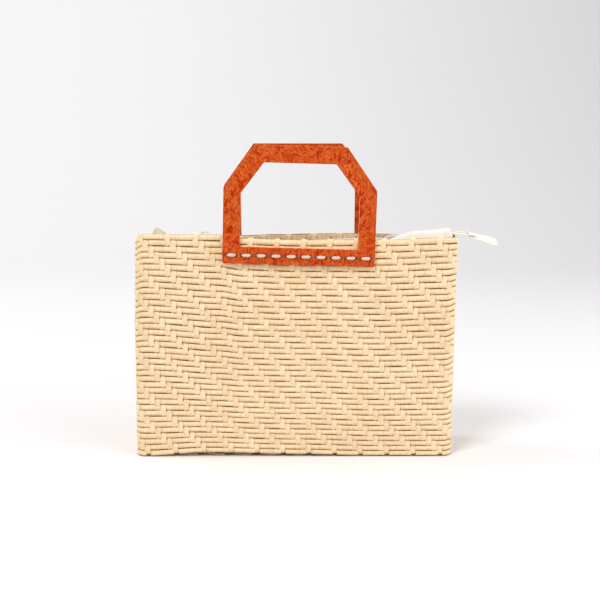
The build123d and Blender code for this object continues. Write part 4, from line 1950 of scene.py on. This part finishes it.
@dataclass
class ZipHalf:
    """One half of the zip: its cotton flap, its tape with stitching, and its coil."""

    line: ZipLine
    finishes: Finishes
    side: Side
    flap_points: int = 11
    crest: Stops = (
        (80.0, 219.0), (95.0, 221.0), (108.0, 225.4), (118.0, 228.2), (146.0, 228.6),
        (152.0, 231.0), (156.6, 224.5),
    )
    least_flat: float = 10.2 * MM
    stations: int = 170
    past_chain: float = 11.6 * MM
    front_below_rim: float = 2.8 * MM
    back_below_rim: float = 6.5 * MM
    back_rise: float = 3.0 * MM
    back_crest_drop: float = 4.5 * MM
    swell_from: float = 84.0 * MM
    swell_run: float = 12.0 * MM
    sway: float = 0.5 * MM
    sway_length: float = 58.0
    hanging_fade: float = 30.0 * MM
    tape_shares: tuple[float, ...] = (0.0, 0.35, 0.7, 1.0)
    seam_share: float = 0.28
    tooth_pitch: float = 1.45 * MM
    wire_radius: float = 0.27 * MM
    stitch_length: float = 2.0 * MM
    stitch_pitch: float = 3.1 * MM
    thread_radius: float = 0.2 * MM

    def mirrored(self, points: Array) -> Array:
        """Front points as they are, back ones mirrored in Y."""
        return points * np.array([1.0, -self.side.value, 1.0])

    def laid(self, x: Array, lines: Array) -> Array:
        """This half's points from places along the bag and the front (y, z) lines there."""
        along = np.broadcast_to(x[:, None, None], (*lines.shape[:2], 1))
        return self.mirrored(np.concatenate([along, lines], axis=2))

    def flap_grid(self) -> Array:
        """Points of the flap, from its sewn edge to its free edge.

        Returns:
            Grid of points.
        """
        line = self.line
        x = np.linspace(line.hang_start, line.chain_end + self.past_chain, self.stations)
        under = line.tape_thickness / 2 + line.sew_gap + line.flap_thickness / 2
        closed = [
            np.array([line.sewn_edge, (line.flap_edge_y, height - under)])
            for height in (line.chain_low, line.chain_high)
        ]
        ends = line.lines(x, np.array([0.0, line.flap_drop]), 0.0, closed, None)
        share = np.linspace(0.0, 1.0, self.flap_points)
        grid = ends[:, None, 0] + (ends[:, None, 1] - ends[:, None, 0]) * share[None, :, None]
        column = (x + line.form.long_flat / 2) / line.form.pitch
        front = self.side is Side.FRONT
        place = column if front else line.form.half_turn + line.form.long_columns - column
        rim = line.form.level(np.zeros_like(place), np.clip(place, 0.0, line.form.columns))
        below = np.full_like(x, self.front_below_rim)
        if not front:
            below = self.back_below_rim - self.back_rise * smooth(x / 0.1)
        lowered = np.minimum(rim - below - line.sewn_edge[1], 0.0)
        drop = lowered[:, None] * smooth(1.0 - share * 1.25)[None, :]
        grid[..., 1] += drop
        arch = np.sin(math.pi * np.clip(share * 1.12, 0.0, 1.0))
        crest = eased(self.crest, x / MM) * MM - (0.0 if front else self.back_crest_drop)
        middle = grid[:, self.flap_points * 4 // 10, 1]
        swell = np.maximum(crest - middle, 0.0)[:, None] * arch[None, :]
        grid[..., 1] += swell * smooth((x - self.swell_from) / self.swell_run)[:, None]
        hanging = 1.0 - smooth((x - line.hang_end) / self.hanging_fade)
        wave = ripple(64 if front else 70, x * 1000, self.sway_length)
        sway = wave[:, None] * share[None, :] * hanging[:, None]
        grid[..., 0] += (0.5 + 0.5 * sway) * self.sway * share[None, :]
        return self.laid(x, grid)

    def build_flap(self) -> None:
        """Builds the cotton flap."""
        word = self.side.word
        grid = self.flap_grid()
        piece = sheet_mesh(f"{word}_flap_cloth", grid, self.line.flap_thickness)
        settle(piece, self.finishes.cotton, Slot.COTTON, f"{word}_zip_flap")
        drop = float(np.mean(np.linalg.norm(np.diff(grid, axis=1), axis=2).sum(axis=1)))
        drop = max(drop, self.least_flat)

    def build_tape(self) -> None:
        """Builds the tape, and its stitching as a piece of its own."""
        line, word = self.line, self.side.word
        x = np.linspace(line.hang_start, line.tail_end, self.stations)
        keys = line.tape_lines(x)
        share = np.array(self.tape_shares)
        outer = keys[:, None, 0] + (keys[:, None, 1] - keys[:, None, 0]) * share[None, :, None]
        inner = keys[:, None, 1] + (keys[:, None, 2] - keys[:, None, 1]) * share[None, 1:, None]
        rows = np.concatenate([outer, inner], axis=1)
        tape = sheet_mesh(f"{word}_zip_tape_cloth", self.laid(x, rows), line.tape_thickness)
        settle(tape, self.finishes.tape, Slot.TAPE, f"{word}_zip_tape")
        loft = Loft()
        seam = keys[:, 0] + (keys[:, 1] - keys[:, 0]) * self.seam_share
        across = unit(keys[:, 1] - keys[:, 0])
        raised = np.stack([-across[:, 1], across[:, 0]], axis=1)
        seam = seam + raised * (line.tape_thickness / 2 + self.thread_radius * 0.6)
        start = float(line.hang_start) + 2 * MM
        while start < line.chain_end - self.stitch_length:
            run = np.linspace(start, start + self.stitch_length, 5)
            rows_at = [np.interp(run, x, seam[:, axis]) for axis in range(2)]
            points = self.mirrored(np.stack([run, *rows_at], axis=1))
            size = self.thread_radius * np.array([0.55, 1.0, 1.05, 1.0, 0.55])
            loft.tube(points, size, 5, tone=(start * 997.0) % 1.0)
            start += self.stitch_pitch
        sewing = loft.build(f"{word}_tape_sewing")
        settle(sewing, self.finishes.thread, Slot.TAPE)

    def build_coil(self) -> None:
        """Builds the nylon coil as one long flattened spiral."""
        line, word = self.line, self.side.word
        start, end = line.hang_start + line.stop_length, line.coil_end
        turns = int((end - start) / self.tooth_pitch)
        turn = np.linspace(0.0, turns, turns * 10 + 1)
        x = start + turn * self.tooth_pitch
        keys = line.coil_lines(x)
        middle = keys.mean(axis=1)
        across = unit(keys[:, 1] - keys[:, 0])
        raised = np.stack([-across[:, 1], across[:, 0]], axis=1)
        phase = 2 * math.pi * turn + (0.0 if self.side is Side.FRONT else math.pi)
        wide = line.coil_width / 2 - self.wire_radius
        high = line.coil_height / 2 - self.wire_radius
        flat = middle + across * (wide * np.cos(phase))[:, None]
        flat = flat + raised * (high * np.sin(phase))[:, None]
        points = self.mirrored(np.concatenate([x[:, None], flat], axis=1))
        loft = Loft()
        loft.tube(points, self.wire_radius, 5, tone=0.4)
        piece = loft.build(f"{word}_zip_coil_wire")
        settle(piece, self.finishes.coil, Slot.COIL, f"{word}_zip_coil")

    def build(self) -> None:
        """Builds the whole half and dresses its top stop."""
        self.build_flap()
        self.build_tape()
        self.build_coil()
        dress_node(f"{self.side.word}_top_stop", self.finishes.metal)


@dataclass
class TailTab:
    """Cotton tab folded over the ends of the tapes, with a stitched edge."""

    line: ZipLine
    finishes: Finishes
    length: float = 30.0 * MM
    width: float = 27.0 * MM
    drop: float = 2.8 * MM
    cloth: float = 0.55 * MM
    half_gap: float = 0.85 * MM
    near_dip: float = 4.5 * MM
    narrowing: float = 0.06
    near_shortening: float = 0.09
    edge_hang: float = 2.2 * MM
    curl: float = 0.5 * MM
    length_points: int = 22
    width_points: int = 19
    stitch_inset: float = 3.2 * MM
    stitch_start: float = 0.12
    stitches: int = 8
    thread_radius: float = 0.24 * MM
    stitch_shares: tuple[float, ...] = (0.12, 0.3, 0.5, 0.7, 0.88)
    stitch_bow: tuple[float, ...] = (-0.15, 0.22, 0.32, 0.22, -0.15)

    def surface(self, along: Array, across: Array, lift: Array) -> Array:
        """Points of the tab.

        Args:
            along: shares of its length.
            across: shares of its width, -1 at the front edge.
            lift: heights over its middle surface.

        Returns:
            The points.
        """
        line = self.line
        near = (1.0 - across) / 2
        x = line.end_stop_end + self.length * along * (1.0 - self.near_shortening * near)
        neck = self.narrowing * smooth((0.25 - along) / 0.25)
        narrowed = 1.0 - neck + 0.02 * np.sin(along * 7.0)
        y = self.width / 2 * across * narrowed
        tilt = self.near_dip * along * (1.0 - across) / 2
        puff = 1.0 - np.abs(across) ** 4
        hung = self.edge_hang * np.clip((near - 0.78) / 0.22, 0.0, 1.0) * (1.0 - 0.7 * along)
        z = line.tail_height_at(x) - self.drop * np.abs(along) ** 1.25 - tilt - hung
        curl = self.curl * np.sin(along * 9.0 + across * 2.0) * along
        return np.stack([x, y, z + lift * puff + curl], axis=-1)

    def build(self) -> None:
        """Builds the tab and its stitching, and dresses the end stop."""
        upper = np.linspace(0.0, 1.0, self.length_points)
        turn = np.linspace(0.0, math.pi, 7)[1:-1]
        along = np.concatenate([upper, 1.0 + 0.035 * np.sin(turn), upper[::-1]])
        full = np.ones(self.length_points)
        lift = np.concatenate([full, np.cos(turn), -full]) * self.half_gap
        across = np.linspace(-1.0, 1.0, self.width_points)
        grid = self.surface(*np.broadcast_arrays(along[:, None], across[None, :], lift[:, None]))
        tab = sheet_mesh("tail_tab_cloth", grid, self.cloth)
        settle(tab, self.finishes.cotton, Slot.COTTON, "zip_tail_tab")
        sewing = self.build_stitches()
        dress_node("zip_end_stop", self.finishes.lacquer)

    def build_stitches(self) -> Piece:
        """Builds the row of stitches round the tab's free edges.

        Returns:
            The piece.
        """
        loft = Loft()
        reach = 1.0 - 2 * self.stitch_inset / self.width
        end = 1.0 - self.stitch_inset / self.length
        near = self.stitch_start
        corners = np.array([(near, -reach), (end, -reach), (end, reach), (near, reach)])
        for first, last in zip(corners, corners[1:]):
            for number in range(self.stitches):
                shares = (number + np.array(self.stitch_shares)) / self.stitches
                along = first[0] + (last[0] - first[0]) * shares
                across = first[1] + (last[1] - first[1]) * shares
                bow = np.array(self.stitch_bow) * MM
                puff = np.maximum(1.0 - np.abs(across) ** 4, 0.05)
                lift = (self.half_gap * puff + self.cloth / 2 + bow) / puff
                points = self.surface(along, across, lift)
                loft.tube(points, self.thread_radius, 5, tone=(number * 0.37) % 1.0)
        sewing = loft.build("tail_tab_sewing")
        settle(sewing, self.finishes.thread, Slot.COTTON)
        return sewing


@dataclass
class TuckedCorner:
    """Small folded end of the cotton that pokes out at the left end of the mouth."""

    line: ZipLine
    finishes: Finishes
    root: Point = (-0.1445, -0.0125, 0.2225)
    length: float = 17.0 * MM
    rise: float = 11.8 * MM
    cloth: float = 0.5 * MM
    peak: float = 0.17
    foot_share: float = 0.34
    crest_share: float = 0.62
    cut_share: float = 0.85
    outward_lean: float = 1.5 * MM
    ripple_depth: float = 2.2 * MM
    forward_lean: float = 2.0 * MM

    def build(self) -> None:
        """Builds the corner."""
        along = np.linspace(0.0, 1.0, 18)[:, None]
        up = np.linspace(0.0, 1.0, 10)[None, :]
        rising = np.minimum(along / self.peak, (1.0 - along) / (1.0 - self.peak))
        crest = smooth(rising) * self.crest_share
        x = self.root[0] + self.length * along + self.outward_lean * up
        y = self.root[1] + self.ripple_depth * np.sin(along * 4.0) * up - self.forward_lean * up
        z = self.root[2] + self.rise * up * (self.foot_share + crest)
        full = np.broadcast_arrays(x, y, z)
        piece = sheet_mesh("tucked_lining_corner", np.stack(full, axis=-1), self.cloth)
        settle(piece, self.finishes.cotton, Slot.COTTON)


# ---- Studio ----


@dataclass(frozen=True)
class Lamp:
    """A soft rectangular lamp that looks at the bag."""

    name: str
    place: Point
    size: float
    power: float
    colour: Colour = (1.0, 1.0, 1.0)
    target: Point = (0.0, 0.0, 0.12)

    def build(self) -> None:
        """Puts the lamp in the scene."""
        light = bpy.data.lights.new(self.name, "AREA")
        light.shape = "SQUARE"
        light.size = self.size
        light.energy = self.power
        light.color = self.colour
        lamp = link_new(self.name, light)
        lamp.location = self.place
        aim = Vector(self.target) - Vector(self.place)
        lamp.rotation_euler = aim.to_track_quat("-Z", "Y").to_euler()


@dataclass
class Studio:
    """Pale sweep, soft lamps and the camera."""

    camera_place: Point = (0.0, -1.006, 0.357)
    pitch: float = 11.3
    turn: float = 0.23
    lens: float = 60.0
    film_width: float = 36.0
    ambient: float = 0.46
    air_colour: Colour = (0.985, 0.99, 1.0)
    floor_colour: Colour = (0.80, 0.792, 0.802)
    floor_patches: Colour = (0.79, 0.78, 0.79)
    floor_front: float = -3.0
    sweep_start: float = 1.1
    sweep_radius: float = 1.3
    sweep_height: float = 3.2
    half_width: float = 7.0
    lamps: tuple[Lamp, ...] = (
        Lamp("key lamp", (-0.7, -0.9, 1.85), 0.7, 23.2, (1.0, 0.985, 0.965)),
        Lamp("fill lamp", (1.3, -0.8, 1.3), 1.2, 11.0, (1.0, 0.99, 0.985)),
        Lamp("end lamp", (1.3, -0.1, 0.55), 0.7, 5.0, (1.0, 0.99, 0.98)),
        Lamp("backdrop lamp", (-1.3, 0.4, 1.9), 1.2, 24.0, (1.0, 1.0, 1.0), (-0.3, 2.4, 0.7)),
    )

    def build_camera(self) -> None:
        """Puts the camera in the scene."""
        data = bpy.data.cameras.new("camera")
        data.lens = self.lens
        data.sensor_width = self.film_width
        data.dof.use_dof = False
        camera = link_new("camera", data)
        camera.location = self.camera_place
        camera.rotation_euler = (math.radians(90 - self.pitch), 0.0, math.radians(-self.turn))
        bpy.context.scene.camera = camera

    def build_sweep(self) -> None:
        """Builds the floor, which curves up into the backdrop."""
        turn = np.linspace(0.0, math.pi / 2, 24)
        curve_y = self.sweep_start + self.sweep_radius * np.sin(turn)
        curve_z = self.sweep_radius * (1.0 - np.cos(turn))
        y = np.concatenate([[self.floor_front], curve_y, [curve_y[-1]]])
        z = np.concatenate([[0.0], curve_z, [self.sweep_height]])
        x = np.array([-self.half_width, self.half_width])
        grid = np.stack(np.broadcast_arrays(x[None, :], y[:, None], z[:, None]), axis=-1)
        sweep = sheet_mesh("studio_sweep", grid)
        material, tree, shader = new_material("studio paper")
        patch = MOTTLE.place(tree, {"Scale": 3.0, "Low": 0.0, "High": 0.05}).outputs[0]
        colour = tree.blend(patch, self.floor_colour, self.floor_patches)
        tree.feed(shader, "Base Color", colour)
        shader.inputs["Roughness"].default_value = 0.85
        shader.inputs["Specular IOR Level"].default_value = 0.1
        sweep.data.materials.append(material)

    def build(self) -> None:
        """Builds the studio."""
        self.build_camera()
        self.build_sweep()
        for lamp in self.lamps:
            lamp.build()
        world = bpy.data.worlds.new("studio air")
        bpy.context.scene.world = world
        world.use_nodes = True
        air = world.node_tree.nodes["Background"]
        air.inputs["Color"].default_value = (*self.air_colour, 1.0)
        air.inputs["Strength"].default_value = self.ambient
        bpy.context.scene.view_settings.view_transform = "Standard"


# ---- The bag ----


def main() -> None:
    """Builds the bag, piece by piece, and the studio round it."""
    logging.basicConfig(level=logging.INFO, format="%(message)s")
    Studio().build()
    finishes = Finishes.mixed()
    form = BasketForm()
    Weave(form, finishes).build()
    LooseReeds(form, finishes).build()
    Lining(form, finishes).build()
    for side, shift, overlap, tilt in ((Side.FRONT, 2.3, 28.6, -1.6), (Side.BACK, 2.0, 27.8, 0.0)):
        StitchedHandle(form, finishes, side, shift * MM, overlap * MM, tilt).build()
    zip_line = ZipLine(form)
    for side in Side:
        ZipHalf(zip_line, finishes, side).build()
    TailTab(zip_line, finishes).build()
    TuckedCorner(zip_line, finishes).build()
    for node in ("zip_slider", "zip_puller"):
        dress_node(node, finishes.metal)


if __name__ == "__main__":
    main()
